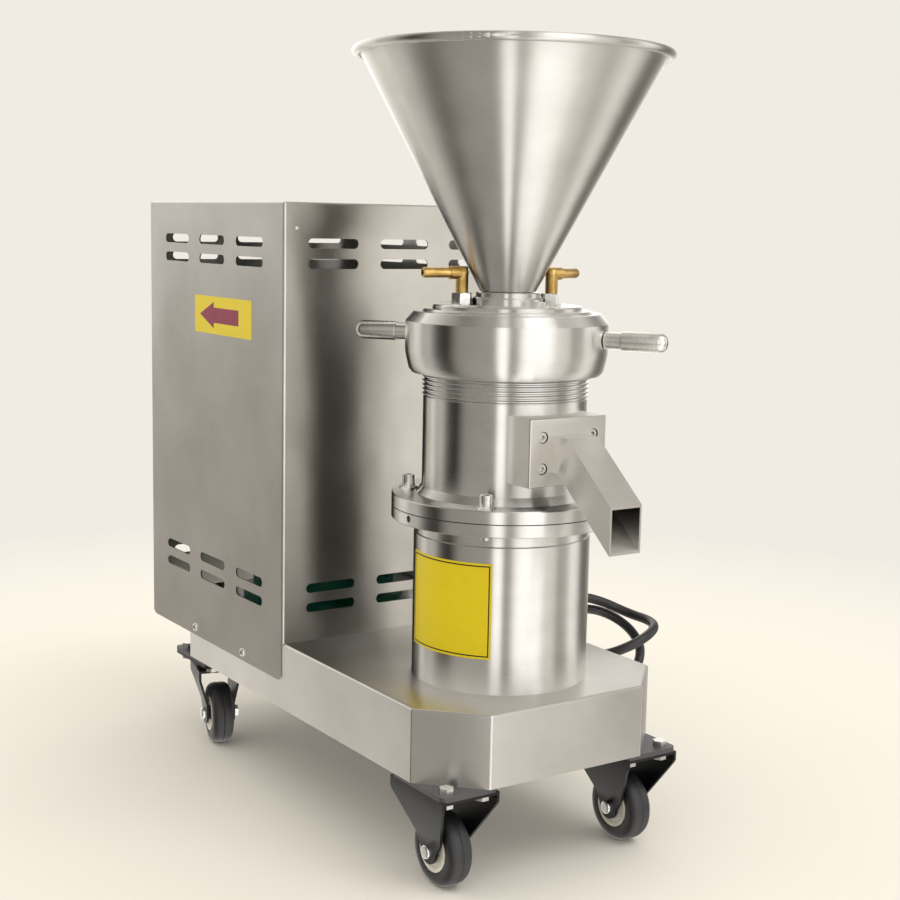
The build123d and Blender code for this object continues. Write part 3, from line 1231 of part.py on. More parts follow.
def cord_tube(points):
    """Round cable along straight runs joined by tangent arcs, each as wide as its runs allow."""
    places = [Vector(*point) for point in points]
    radii = []
    for before, here, after in zip(places, places[1:], places[2:]):
        turn = math.radians((here - before).get_angle(after - here))
        shorter = min((here - before).length, (after - here).length)
        radii.append(0.45 * shorter / math.tan(turn / 2))
    path = FilletPolyline(*places, radius=radii)
    print("cord: smallest arc", round(min(radii), 1), "length", round(path.length, 1))
    start = Plane(origin=places[0], z_dir=places[1] - places[0])
    tube = sweep(start * Circle(CORD_RADIUS), path=path)
    share = tube.volume / (path.length * math.pi * CORD_RADIUS ** 2)
    print("cord: volume over section times length", round(share, 4))
    return tube


def cord_coil():
    """Outer shape of the put-away turns: a low ring, chamfered to its upper turn."""
    inner = min(COIL_TURN_RADII) - CORD_RADIUS
    outer = max(COIL_TURN_RADII) + CORD_RADIUS
    shoulder = 2 * CORD_RADIUS
    top = 3.75 * CORD_RADIUS
    slant = CORD_RADIUS
    return turned([(inner, CLEAR), (outer, CLEAR), (outer, shoulder), (outer - slant, top),
                   (inner + slant, top), (inner, shoulder)], COIL_X, COIL_Y)


def cord_points(route, ground):
    """The places of a route in the machine."""
    return [(BASE_WIDTH / 2 + out, back, ground + rise) for out, back, rise in route]


def cord_run():
    """The cable from the gland to the coil, and the short tail from the coil to the plug."""
    coil = cord_coil()
    nose = (GLAND_X, COVER_FRONT - GLAND_REACH, GLAND_HEIGHT)
    route = [nose] + cord_points(CORD_DECK_ROUTE, BASE_TOP) + cord_points(CORD_FLOOR_ROUTE, 0)
    run = cord_tube(route) - coil
    tail = cord_tube(cord_points(CORD_TAIL_ROUTE, 0)) - coil
    longest = [part.solids().sort_by(SortBy.VOLUME)[-1] for part in (run, tail)]
    return Compound(children=longest)


def cord_plug():
    """Round moulded plug with two pins, lying on the floor with its pins towards -Y."""
    x, y, z = cord_points(CORD_TAIL_ROUTE, 0)[-1]
    face = PLUG_RELIEF + PLUG_BODY
    body = turned([
        (0, 0), (CORD_RADIUS + 1, 0), (CORD_RADIUS + 3.5, PLUG_RELIEF), (PLUG_RADIUS - 3, PLUG_RELIEF + 5),
        (PLUG_RADIUS, PLUG_RELIEF + 14), (PLUG_RADIUS, face - 1.5), (PLUG_RADIUS - 1.5, face), (0, face),
    ])
    pin = cylinder(PLUG_PIN_RADIUS, face - 2, face + PLUG_PIN_LENGTH, PLUG_PIN_SPACING / 2)
    pin = fillet(pin.edges().sort_by(Axis.Z)[-1], PLUG_PIN_RADIUS * 0.6)
    return Pos(x, y, z) * Rot(90, 0, 0) * (body + pin + mirror(pin, Plane.YZ))


def all_parts():
    """Every node by name."""
    parts = {
        "base_shell": base_shell(),
        "deck_plate": deck_plate(),
        "corner_plates": corner_plates(),
        "castor_bolts": castor_bolts(),
        "motor_cover": motor_cover(),
        "cover_screws": cover_screws(),
        "motor_flange": motor_flange(),
        "motor_frame": motor_frame(),
        "motor_fan_cowl": fan_cowl(),
        "motor_terminal_box": terminal_box(),
        "motor_shaft": motor_shaft(),
        "motor_cooling_fan": cooling_fan(),
        "motor_pulley": Pos(0, MOTOR_Y, 0) * pulley(MOTOR_PULLEY_RADIUS, MOTOR_SHAFT_RADIUS + RUNNING, 28),
        "drive_belts": drive_belts(),
        "mill_pulley": pulley(MILL_PULLEY_RADIUS, SPINDLE_END_RADIUS + RUNNING, 24),
        "pulley_nut": pulley_nut(),
        "spindle": spindle(),
        "bearing_housing": bearing_housing(),
        "deck_bolts": deck_bolts(),
        "bearing_outer_races": outer_races_and_cages(),
        "bearing_inner_races": inner_races(),
        "upper_bearing_cap": upper_bearing_cap(),
        "seal_seat": shaft_seal(False),
        "seal_face": shaft_seal(True),
        "flange_gasket": flange_gasket(),
        "flange_washers": flange_washers(),
        "flange_bolts": flange_bolts(),
        "mill_housing": mill_housing(),
        "rotor": rotor(),
        "rotor_nut": rotor_nut(),
        "stator": stator(),
        "stator_carrier": stator_carrier(),
        "throat_sleeve": throat_sleeve(),
        "adjusting_ring": adjusting_ring(),
        "ring_handle_rods": handle_rods(),
        "ring_handle_grips": handle_grips(),
        "cover_plate": cover_plate(),
        "cover_plate_bolts": cover_bolts(),
        "water_elbow_nuts": elbow_nuts(),
        "water_elbows": Compound(children=[water_elbow(side) for side in ELBOW_ANGLES]),
        "hopper_neck": hopper_neck(),
        "hopper": hopper(),
        "outlet_block": outlet_block(),
        "outlet_screws": outlet_screws(),
        "discharge_chute": discharge_chute(),
        "cord_gland": cord_gland(),
        "cord_run": cord_run(),
        "cord_coil": cord_coil(),
        "cord_plug": cord_plug(),
    }
    frames = castor_frames()
    parts["front_castor_brackets"] = Compound(
        children=[frames[name] * front_castor_bracket() for name in ("front_left", "front_right")])
    parts["rear_castor_plates"] = Compound(
        children=[Pos(x, y, 0) * rear_castor_plate() for x, y in castor_middles()[2:]])
    parts["front_axles"] = Compound(
        children=[frames[name] * wheel_axle() for name in ("front_left", "front_right")])
    for side in ("left", "right"):
        rear = frames["rear_" + side]
        wheel = rear * Pos(0, -CASTOR_TRAIL, 0)
        parts["front_wheel_" + side] = wheel_pair(frames["front_" + side])
        parts["rear_fork_" + side] = rear * rear_fork()
        parts["rear_axle_" + side] = wheel * wheel_axle()
        parts["rear_wheel_" + side] = wheel_pair(wheel)
    return parts


def wheel_pair(frame):
    """A wheel: its tread and the hub that it is moulded on."""
    return Compound(children=[frame * wheel_tread(), frame * wheel_hub()])


def main():
    os.makedirs("parts", exist_ok=True)
    to_middle = Pos(0, -FOOTPRINT_MIDDLE, 0)
    for name, shape in all_parts().items():
        export_step(to_middle * shape, "parts/" + name + ".step")


main()
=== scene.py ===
"""The looks of the peanut butter mill: finishes, signs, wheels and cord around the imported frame."""
import math

import bmesh
import bpy
from mathutils import Matrix, Vector


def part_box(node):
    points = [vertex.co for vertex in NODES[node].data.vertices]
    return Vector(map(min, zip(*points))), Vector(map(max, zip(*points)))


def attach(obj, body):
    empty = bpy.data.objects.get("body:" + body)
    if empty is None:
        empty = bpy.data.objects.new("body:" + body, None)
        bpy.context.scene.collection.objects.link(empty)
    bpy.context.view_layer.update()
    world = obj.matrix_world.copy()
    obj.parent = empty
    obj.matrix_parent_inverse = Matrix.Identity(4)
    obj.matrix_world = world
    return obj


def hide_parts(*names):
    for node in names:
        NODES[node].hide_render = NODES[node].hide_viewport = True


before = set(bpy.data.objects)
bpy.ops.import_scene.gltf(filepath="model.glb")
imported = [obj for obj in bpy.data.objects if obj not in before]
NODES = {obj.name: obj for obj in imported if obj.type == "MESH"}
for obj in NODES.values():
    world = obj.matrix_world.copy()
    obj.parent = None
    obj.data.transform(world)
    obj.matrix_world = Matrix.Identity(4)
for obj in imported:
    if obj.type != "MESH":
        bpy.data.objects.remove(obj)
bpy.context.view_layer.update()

MM = 0.001
PER_METRE = 1000.0              # a pattern with features of s millimetres has the scale PER_METRE / s

# Sockets of the mix node, which gives the same names to each kind of value
MIX_FACTOR = 0
MIX_FLOATS = (2, 3)
MIX_VECTORS = (4, 5)
MIX_COLOURS = (6, 7)
MIX_VECTOR_OUT = 1
MIX_COLOUR_OUT = 2

# Places taken from the frame
HOUSING_LOW, HOUSING_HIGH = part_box("bearing_housing")
HEAD_AXIS = Vector(((HOUSING_LOW.x + HOUSING_HIGH.x) / 2, (HOUSING_LOW.y + HOUSING_HIGH.y) / 2, 0))
COVER_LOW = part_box("motor_cover")[0]
BASE_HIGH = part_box("base_shell")[1]

# Camera, solved from the photograph, relative to the head axis
CAMERA_FROM_HEAD = Vector((-933.88, -1287.94, 655.10)) * MM
TARGET_FROM_HEAD = Vector((-92.0, -36.5, 432.1)) * MM
CAMERA_ROLL = math.radians(1.15)
CAMERA_LENS = 61.76             # millimetres, as is the sensor's width
CAMERA_SENSOR = 36.0
CAMERA_REACH = (0.05, 60.0)     # nearest and farthest, in metres

# Meshes
MERGE_REACH = 1e-6              # points of a made piece that are nearer than this are one
WELD_REACH = 2e-6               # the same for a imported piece
CREASE = 35.0                   # degrees: a sharper turn stays an edge
SOFT_EDGE = math.radians(30)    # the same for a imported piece

# Patterns on metal
RING_DRIFT = 0.15               # changes of a turned ring along one radian
CLOUD_DRIFT = 1.5
FACING = 0.8                    # share of the normal that makes a face look along an axis

# Signs
HOUSING_RADIUS = 92.3 * MM      # of the lower cylinder, which is narrower than its flange
FILM = 0.25 * MM
LABEL_LOW = 221.9 * MM
LABEL_HIGH = 319.7 * MM
LABEL_START = math.radians(161.0)
LABEL_END = math.radians(229.0)
LABEL_INSET = 2.2 * MM
LABEL_BORDER = 1.3 * MM
LABEL_INK = 0.04 * MM
BAND_STEPS = 24
SIGN_FRONT = 276.4 * MM         # from the head axis, towards the rear
SIGN_REAR = 426.7 * MM
SIGN_BOTTOM = 519.0 * MM
SIGN_TOP = 563.0 * MM
ARROW_TIP_GAP = 14.0 * MM       # from the sign's rear edge
ARROW_TAIL_GAP = 33.0 * MM      # from its front edge
ARROW_HEAD = 38.0 * MM
ARROW_BARB = 15.5 * MM          # half widths
ARROW_SHAFT = 9.0 * MM
ARROW_INK = 0.05 * MM

# Rivet in the cover's front
RIVET_IN = 16.0 * MM            # from the cover's left side
RIVET_HEIGHT = 645.0 * MM
RIVET_HEAD = [(0.1, 0), (2.4, 0), (2.2, 0.6), (1.4, 1.1), (0.1, 1.25)]
RIVET_CREASE = 80.0
RIVET_STEPS = 24

# Castor wheels: half profiles as (radius, distance from the wheel's middle), in millimetres
REAR_CASTOR_TURN = math.radians(14.0)
TREAD_HALF = [(22.05, 12), (25, 13), (30, 13), (33.5, 12.2), (36, 10), (37.2, 7), (37.5, 4), (37.5, 0.8)]
PARTING_LINE = [(36.9, 0)]
HUB_HALF = [(9, 11), (17, 11), (18.5, 12.8), (21, 13.6), (22, 13.4)]
CORE_HALF = [(4.05, 14.5), (7.5, 14.5), (8.3, 13.7), (9, 11.5)]
TREAD_STEPS = 96
HUB_STEPS = 64
CORE_STEPS = 48

# Studio: the floor in metres, the light, and what stands round the machine
FLOOR_RADIUS = 1.6
FLOOR_FADE_START = 0.8
FLOOR_SEGMENTS = 128
BACKGROUND = "#F0ECE3"
SKY_COLOUR = "#FBF6EE"
SKY_STRENGTH = 1.15
SUN_STRENGTH = 0.5
SUN_SPREAD = math.radians(30)
SUN_COURSE = (-0.25, 0.6, -1.0)
BAND_STRENGTH = 2.5
TWICE_MIRRORED = "#DAD8D4"      # an even tone for what is seen by way of two metal faces
DEEP_INSIDE = "#2C2B29"         # and by way of three or more, as inside the cover
SURROUNDINGS = [                # (heading in degrees, tone)
    (-178, "#86847F"), (-150, "#8A8884"), (-139, "#8E8C88"), (-134, "#FFFFFF"), (-126, "#FFFFFF"),
    (-121, "#8A8884"), (-114, "#94928E"), (-106, "#F0EEEC"), (-98, "#FFFFFF"), (-74, "#FFFFFF"),
    (-66, "#D4D2CE"), (-52, "#CECCC8"), (-46, "#96948F"), (-32, "#96948F"), (-22, "#E8E6E3"),
    (-10, "#E8E6E3"), (0, "#868480"), (12, "#5E5C58"), (30, "#8E8C87"), (54, "#E8E6E2"),
    (84, "#E0DEDA"), (106, "#D4D2CE"), (118, "#CCCAC6"), (123, "#9A9894"), (136, "#A6A4A0"),
    (147, "#3E3C39"), (154, "#141312"), (164, "#1C1A18"), (172, "#6E6C68"), (178, "#86847F"),
]
ABOVE_AND_BELOW = [             # (share of the way from straight down to straight up, tone)
    (0.0, "#FFFEFC"), (0.26, "#FFFEFC"), (0.36, "#C8C5C0"), (0.46, "#D8D6D2"), (0.5, "#FFFFFF"),
    (0.7, "#FFFFFF"), (1.0, "#D2D0CC"),
]

# Power cord: the route of the cable, repeated from the part, in millimetres
CORD_DIAMETER = 11.0 * MM
CORD_SPAN_STEPS = 8
CORD_ROUND_STEPS = 5
CORD_DECK_ROUTE = [             # out from the side of the base, back from the head axis, above the deck
    (-29.6, 141, 27.7), (-13.6, 118, 30.7), (9.4, 107, 32.7), (37.4, 101, 35.7), (60.4, 89, 29.7),
    (83.4, 64, 16.7), (89.4, 30, 14.7), (69.4, 2, 13.7), (37.4, -6, 4.7), (11.4, 11, -9.3),
    (5.4, 43, -18.3), (14.4, 76, -11.3), (29.4, 108, 1.7), (14.4, 158, 8.7), (-37.6, 169, 7.7),
    (-70.6, 127, 6.7), (-50.6, 82, 8.7), (-5.6, 74, 17.7), (26.4, 96, 21.7), (56.4, 98, 18.7),
    (79.4, 84, 8.7), (87.4, 59, -5.3), (77.4, 31, -21.3),
]
CORD_FLOOR_ROUTE = [            # the same, but above the floor
    (54.4, 22, 139), (35.4, 39, 116), (29.4, 80, 100), (24.4, 124, 82), (22.4, 164, 52),
    (23.4, 204, 22), (26.4, 248, 6), (31.4, 296, 6), (28.4, 346, 6),
]
COIL_OUT = 98.4                 # middle of the coil
COIL_BACK = 385.0
COIL_LAY = [                    # turns so far, radius, height: two turns on the floor, the last on top
    (0.0, 71.5, 6.0), (0.9, 71.5, 6.0), (1.04, 60.5, 6.0), (1.8, 60.5, 6.0), (1.92, 66.0, 17.2),
    (2.08, 66.0, 17.2), (2.2, 66.0, 15.4), (2.5, 66.0, 15.4),
]
POINTS_PER_TURN = 12
CORD_TAIL_ROUTE = [             # the end with the plug, above the floor
    (164.4, 352, 17), (170.4, 326, 18.9), (170.4, 300, 18.9),
]


# Small tools


def linear(colour):
    """An sRGB hex colour as the linear one that a shader takes."""
    channels = [int(colour[i:i + 2], 16) / 255 for i in (1, 3, 5)]
    return tuple(c / 12.92 if c <= 0.04045 else ((c + 0.055) / 1.055) ** 2.4 for c in channels) + (1.0,)


def join(tree, made, links):
    """Links sources to a node's sockets; a node as a source stands for its first output."""
    for name, source in links.items():
        socket = source.outputs[0] if isinstance(source, bpy.types.Node) else source
        tree.links.new(socket, made.inputs[name])


def node(tree, kind, settings=None, links=None, stops=()):
    """Adds a node; a setting that names no socket is one of the node's own properties.

    The stops of a colour ramp are (position, hex colour), in rising order.
    """
    made = tree.nodes.new(kind)
    for name, value in (settings or {}).items():
        if isinstance(name, int) or name in made.inputs:
            made.inputs[name].default_value = value
        else:
            setattr(made, name, value)
    join(tree, made, links or {})
    if stops:
        elements = made.color_ramp.elements
        while len(elements) < len(stops):
            elements.new(0.5)
        for element, (position, colour) in zip(elements, stops):
            element.position = position
            element.color = linear(colour)
    return made


def new_material(name, settings):
    """A material with one Principled shader; settings go on the shader's own sockets."""
    material = bpy.data.materials.new(name)
    material.use_nodes = True
    tree = material.node_tree
    shader = tree.nodes["Principled BSDF"]
    for socket, value in settings.items():
        shader.inputs[socket].default_value = value
    return material, tree, shader


def turned_coordinates(tree, centre):
    """(angle, height, radius) about an upright axis, and the direction of turning."""
    place = node(tree, "ShaderNodeTexCoord").outputs["Object"]
    from_axis = node(tree, "ShaderNodeVectorMath", {"operation": "SUBTRACT", 1: centre}, {0: place})
    parts = node(tree, "ShaderNodeSeparateXYZ", links={0: from_axis}).outputs
    flat = node(tree, "ShaderNodeCombineXYZ", links={0: parts["X"], 1: parts["Y"]})
    radius = node(tree, "ShaderNodeVectorMath", {"operation": "LENGTH"}, {0: flat}).outputs["Value"]
    angle = node(tree, "ShaderNodeMath", {"operation": "ARCTAN2"}, {0: parts["Y"], 1: parts["X"]})
    both = node(tree, "ShaderNodeCombineXYZ", links={0: angle, 1: parts["Z"], 2: radius})
    way = node(tree, "ShaderNodeVectorMath", {"operation": "CROSS_PRODUCT", 1: (0, 0, 1)}, {0: flat})
    return both, way


# Metals


def turned_stainless(name, colour, roughness, ring=0.35, depth=0.004):
    """Stainless turned on a lathe: fine rings round the axis that draw the light into upright bands.

    Real tool marks are about 0.1 mm apart. The rings are drawn coarser, their spacing and depth given in
    millimetres, so that the render shows them. The clouds between them are 45 mm high.
    """
    material, tree, shader = new_material(
        name, {"Metallic": 1.0, "Anisotropic": 1.0, "Anisotropic Rotation": 0.25})
    both, way = turned_coordinates(tree, HEAD_AXIS)
    thin = node(tree, "ShaderNodeVectorMath",
                {"operation": "MULTIPLY", 1: (RING_DRIFT, PER_METRE / ring, PER_METRE / ring)}, {0: both})
    wide = node(tree, "ShaderNodeVectorMath",
                {"operation": "MULTIPLY", 1: (CLOUD_DRIFT, PER_METRE / 45, PER_METRE / 45)}, {0: both})
    rings = node(tree, "ShaderNodeTexNoise", {"Scale": 1.0, "Detail": 2.0, "Roughness": 0.6},
                 {"Vector": thin})
    clouds = node(tree, "ShaderNodeTexNoise", {"Scale": 1.0, "Detail": 3.0, "Roughness": 0.6},
                  {"Vector": wide})
    tone = node(tree, "ShaderNodeValToRGB", links={"Fac": clouds}, stops=[(0.3, colour[0]), (0.7, colour[1])])
    fine = node(tree, "ShaderNodeMath", {"operation": "MULTIPLY_ADD", 1: 0.6}, {0: rings, 2: clouds})
    gloss = node(tree, "ShaderNodeMapRange", {"To Min": roughness * 0.85, "To Max": roughness * 1.1},
                 {"Value": fine})
    relief = node(tree, "ShaderNodeBump", {"Distance": depth * MM, "Strength": 1.0}, {"Height": rings})
    join(tree, shader, {"Base Color": tone, "Roughness": gloss, "Tangent": way, "Normal": relief})
    return material


def brushed_sheet(name, colour, roughness, side_grain):
    """Stainless sheet brushed with a belt: long straight scratches, along each face's own direction.

    Real scratches are a few hundredths of a millimetre wide. They are drawn 0.45 mm wide so that they
    show, 38 mm long, over clouds 110 mm wide.
    """
    material, tree, shader = new_material(name, {"Metallic": 1.0, "Anisotropic": 0.95})
    place = node(tree, "ShaderNodeTexCoord").outputs["Object"]
    across = PER_METRE / 0.45
    along = PER_METRE / 38.0
    side = (along, along, across) if side_grain == "Y" else (along, across, along)
    grains = []
    for stretch in (side, (along, along, across), (across, along, along)):
        drawn = node(tree, "ShaderNodeVectorMath", {"operation": "MULTIPLY", 1: stretch}, {0: place})
        grains.append(node(tree, "ShaderNodeTexNoise", {"Scale": 1.0, "Detail": 5.0, "Roughness": 0.65},
                           {"Vector": drawn}))
    on_side, on_front, on_top = grains
    normal = node(tree, "ShaderNodeNewGeometry").outputs["Normal"]
    size = node(tree, "ShaderNodeVectorMath", {"operation": "ABSOLUTE"}, {0: normal})
    facing = node(tree, "ShaderNodeSeparateXYZ", links={0: size}).outputs
    is_side = node(tree, "ShaderNodeMath", {"operation": "GREATER_THAN", 1: FACING}, {0: facing["X"]})
    is_top = node(tree, "ShaderNodeMath", {"operation": "GREATER_THAN", 1: FACING}, {0: facing["Z"]})
    first, second = MIX_FLOATS
    grain = node(tree, "ShaderNodeMix", {"data_type": "FLOAT"},
                 {MIX_FACTOR: is_side, first: on_front, second: on_side})
    grain = node(tree, "ShaderNodeMix", {"data_type": "FLOAT"},
                 {MIX_FACTOR: is_top, first: grain, second: on_top})
    flat = is_top
    if side_grain == "Z":
        flat = node(tree, "ShaderNodeMath", {"operation": "MAXIMUM"}, {0: is_side, 1: is_top})
    first, second = MIX_VECTORS
    spread = node(tree, "ShaderNodeMix", {"data_type": "VECTOR", first: (0, 0, 1), second: (0, 1, 0)},
                  {MIX_FACTOR: flat}).outputs[MIX_VECTOR_OUT]
    clouds = node(tree, "ShaderNodeTexNoise", {"Scale": PER_METRE / 110, "Detail": 3.0, "Roughness": 0.6},
                  {"Vector": place})
    mottle = node(tree, "ShaderNodeMath", {"operation": "MULTIPLY_ADD", 1: 0.5}, {0: grain, 2: clouds})
    tone = node(tree, "ShaderNodeValToRGB", links={"Fac": mottle}, stops=[(0.5, colour[0]), (1.0, colour[1])])
    gloss = node(tree, "ShaderNodeMapRange", {"To Min": roughness - 0.06, "To Max": roughness + 0.06},
                 {"Value": grain})
    relief = node(tree, "ShaderNodeBump", {"Distance": 0.01 * MM, "Strength": 1.0}, {"Height": grain})
    join(tree, shader, {"Base Color": tone, "Roughness": gloss, "Tangent": spread, "Normal": relief})
    return material


def polished_steel(name, dark, pale, roughness):
    """Stainless bar turned and polished: an even gloss, clouded by hands in patches 16.7 mm wide."""
    material, tree, shader = new_material(name, {"Metallic": 1.0})
    place = node(tree, "ShaderNodeTexCoord").outputs["Object"]
    clouds = node(tree, "ShaderNodeTexNoise", {"Scale": PER_METRE / 16.7, "Detail": 4.0, "Roughness": 0.6},
                  {"Vector": place})
    tone = node(tree, "ShaderNodeValToRGB", links={"Fac": clouds}, stops=[(0.3, dark), (0.7, pale)])
    gloss = node(tree, "ShaderNodeMapRange", {"To Min": roughness - 0.06, "To Max": roughness + 0.06},
                 {"Value": clouds})
    join(tree, shader, {"Base Color": tone, "Roughness": gloss})
    return material


def zinc_plate():
    """Bright zinc on pressed steel: pale, a little cloudy, in patches 6.25 mm wide."""
    material, tree, shader = new_material("bright_zinc_plate", {"Metallic": 1.0})
    place = node(tree, "ShaderNodeTexCoord").outputs["Object"]
    clouds = node(tree, "ShaderNodeTexNoise", {"Scale": PER_METRE / 6.25, "Detail": 4.0, "Roughness": 0.6},
                  {"Vector": place})
    tone = node(tree, "ShaderNodeValToRGB", links={"Fac": clouds}, stops=[(0.3, "#B9B8B4"), (0.7, "#DAD9D5")])
    gloss = node(tree, "ShaderNodeMapRange", {"To Min": 0.2, "To Max": 0.36}, {"Value": clouds})
    join(tree, shader, {"Base Color": tone, "Roughness": gloss})
    return material


def machined_brass():
    """Brass turned and left bare: warm, with darker tarnish in soft patches 11 mm wide.

    The tool marks are drawn 1.1 mm apart, about ten times coarser than real ones, so that they show.
    """
    material, tree, shader = new_material("machined_brass", {"Metallic": 1.0})
    place = node(tree, "ShaderNodeTexCoord").outputs["Object"]
    patches = node(tree, "ShaderNodeTexNoise", {"Scale": PER_METRE / 11, "Detail": 5.0, "Roughness": 0.6},
                   {"Vector": place})
    marks = node(tree, "ShaderNodeTexNoise", {"Scale": PER_METRE / 1.1, "Detail": 2.0, "Roughness": 0.6},
                 {"Vector": place})
    tone = node(tree, "ShaderNodeValToRGB", links={"Fac": patches},
                stops=[(0.3, "#9C7A3E"), (0.7, "#CFAE6C")])
    gloss = node(tree, "ShaderNodeMapRange", {"To Min": 0.42, "To Max": 0.24}, {"Value": patches})
    relief = node(tree, "ShaderNodeBump", {"Distance": 0.01 * MM, "Strength": 1.0}, {"Height": marks})
    join(tree, shader, {"Base Color": tone, "Roughness": gloss, "Normal": relief})
    return material


def cast_iron():
    """Turned cast iron: dark grey and open grained, drawn at 1.4 mm, coarser than real, so that it shows."""
    material, tree, shader = new_material("turned_cast_iron", {"Metallic": 0.85})
    place = node(tree, "ShaderNodeTexCoord").outputs["Object"]
    grain = node(tree, "ShaderNodeTexNoise", {"Scale": PER_METRE / 1.4, "Detail": 5.0, "Roughness": 0.6},
                 {"Vector": place})
    tone = node(tree, "ShaderNodeValToRGB", links={"Fac": grain}, stops=[(0.3, "#3E3E40"), (0.7, "#5C5C5E")])
    gloss = node(tree, "ShaderNodeMapRange", {"To Min": 0.4, "To Max": 0.6}, {"Value": grain})
    relief = node(tree, "ShaderNodeBump", {"Distance": 0.03 * MM, "Strength": 1.0}, {"Height": grain})
    join(tree, shader, {"Base Color": tone, "Roughness": gloss, "Normal": relief})
    return material


# Paint, rubber, plastic and film


def enamel(name, dark, pale, roughness, grit=1.2, gloss=0.5):
    """Sprayed enamel on steel: even gloss over a faint orange peel of the given grit in millimetres."""
    material, tree, shader = new_material(name, {"IOR": 1.5, "Specular IOR Level": gloss})
    place = node(tree, "ShaderNodeTexCoord").outputs["Object"]
    peel = node(tree, "ShaderNodeTexNoise", {"Scale": PER_METRE / grit, "Detail": 2.0, "Roughness": 0.6},
                {"Vector": place})
    clouds = node(tree, "ShaderNodeTexNoise", {"Scale": PER_METRE / 40, "Detail": 3.0, "Roughness": 0.6},
                  {"Vector": place})
    tone = node(tree, "ShaderNodeValToRGB", links={"Fac": clouds}, stops=[(0.3, dark), (0.7, pale)])
    sheen = node(tree, "ShaderNodeMapRange", {"To Min": roughness - 0.05, "To Max": roughness + 0.08},
                 {"Value": clouds})
    relief = node(tree, "ShaderNodeBump", {"Distance": 0.03 * MM, "Strength": 1.0}, {"Height": peel})
    join(tree, shader, {"Base Color": tone, "Roughness": sheen, "Normal": relief})
    return material


def rubber(name, dark, pale, roughness, grain=0.7):
    """Moulded rubber: dull, with dust in a fine uneven grain, drawn coarser than real so that it shows."""
    material, tree, shader = new_material(name, {"IOR": 1.52})
    place = node(tree, "ShaderNodeTexCoord").outputs["Object"]
    speck = node(tree, "ShaderNodeTexNoise", {"Scale": PER_METRE / grain, "Detail": 3.0, "Roughness": 0.6},
                 {"Vector": place})
    clouds = node(tree, "ShaderNodeTexNoise", {"Scale": PER_METRE / 16.7, "Detail": 4.0, "Roughness": 0.6},
                  {"Vector": place})
    both = node(tree, "ShaderNodeMath", {"operation": "MULTIPLY_ADD", 1: 0.4}, {0: speck, 2: clouds})
    tone = node(tree, "ShaderNodeValToRGB", links={"Fac": both}, stops=[(0.45, dark), (0.95, pale)])
    sheen = node(tree, "ShaderNodeMapRange", {"To Min": roughness - 0.08, "To Max": roughness + 0.08},
                 {"Value": both})
    relief = node(tree, "ShaderNodeBump", {"Distance": 0.03 * MM, "Strength": 1.0}, {"Height": speck})
    join(tree, shader, {"Base Color": tone, "Roughness": sheen, "Normal": relief})
    return material


def moulded_plastic(name, dark, pale, roughness):
    """Injection moulded plastic: smooth, with a faint unevenness 8.3 mm wide in its gloss."""
    material, tree, shader = new_material(name, {"IOR": 1.49})
    place = node(tree, "ShaderNodeTexCoord").outputs["Object"]
    clouds = node(tree, "ShaderNodeTexNoise", {"Scale": PER_METRE / 8.3, "Detail": 3.0, "Roughness": 0.6},
                  {"Vector": place})
    tone = node(tree, "ShaderNodeValToRGB", links={"Fac": clouds}, stops=[(0.3, dark), (0.7, pale)])
    sheen = node(tree, "ShaderNodeMapRange", {"To Min": roughness - 0.04, "To Max": roughness + 0.06},
                 {"Value": clouds})
    join(tree, shader, {"Base Color": tone, "Roughness": sheen})
    return material


def printed_film(name, dark, pale):
    """Printed vinyl film: flat colour under a satin coat, with faint rub marks 14.3 mm wide."""
    material, tree, shader = new_material(name, {"IOR": 1.5, "Specular IOR Level": 0.3})
    place = node(tree, "ShaderNodeTexCoord").outputs["Object"]
    rubs = node(tree, "ShaderNodeTexNoise", {"Scale": PER_METRE / 14.3, "Detail": 5.0, "Roughness": 0.6},
                {"Vector": place})
    tone = node(tree, "ShaderNodeValToRGB", links={"Fac": rubs}, stops=[(0.25, dark), (0.6, pale)])
    sheen = node(tree, "ShaderNodeMapRange", {"To Min": 0.42, "To Max": 0.36}, {"Value": rubs})
    join(tree, shader, {"Base Color": tone, "Roughness": sheen})
    return material


# Pieces


def finish_piece(work, name, material, body, crease=CREASE):
    """Turns a bmesh into a piece that rides on a body, smooth but for creases above an angle in degrees."""
    mesh = bpy.data.meshes.new(name)
    bmesh.ops.remove_doubles(work, verts=work.verts, dist=MERGE_REACH)
    bmesh.ops.recalc_face_normals(work, faces=work.faces)
    work.to_mesh(mesh)
    work.free()
    mesh.shade_smooth()
    mesh.set_sharp_from_angle(angle=math.radians(crease))
    piece = bpy.data.objects.new(name, mesh)
    bpy.context.scene.collection.objects.link(piece)
    mesh.materials.append(material)
    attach(piece, body)
    return piece


def plate_from_outline(points, thickness):
    """A closed flat plate from (u, v) points, its face on the ground plane."""
    work = bmesh.new()
    face = work.faces.new([work.verts.new((u, v, 0)) for u, v in points])
    raised = bmesh.ops.extrude_face_region(work, geom=[face])["geom"]
    corners = [part for part in raised if isinstance(part, bmesh.types.BMVert)]
    bmesh.ops.translate(work, verts=corners, vec=(0, 0, thickness))
    return work


def wrapped_band(radius, start, end, low, high, thickness):
    """A thin plate bent round the head axis."""
    work = bmesh.new()
    corners = [(radius, low), (radius + thickness, low), (radius + thickness, high), (radius, high)]
    ring = [work.verts.new((r * math.cos(start), r * math.sin(start), z)) for r, z in corners]
    face = work.faces.new(ring)
    bmesh.ops.spin(work, geom=[face], axis=(0, 0, 1), cent=(0, 0, 0), angle=end - start, steps=BAND_STEPS)
    bmesh.ops.translate(work, verts=work.verts, vec=HEAD_AXIS)
    return work


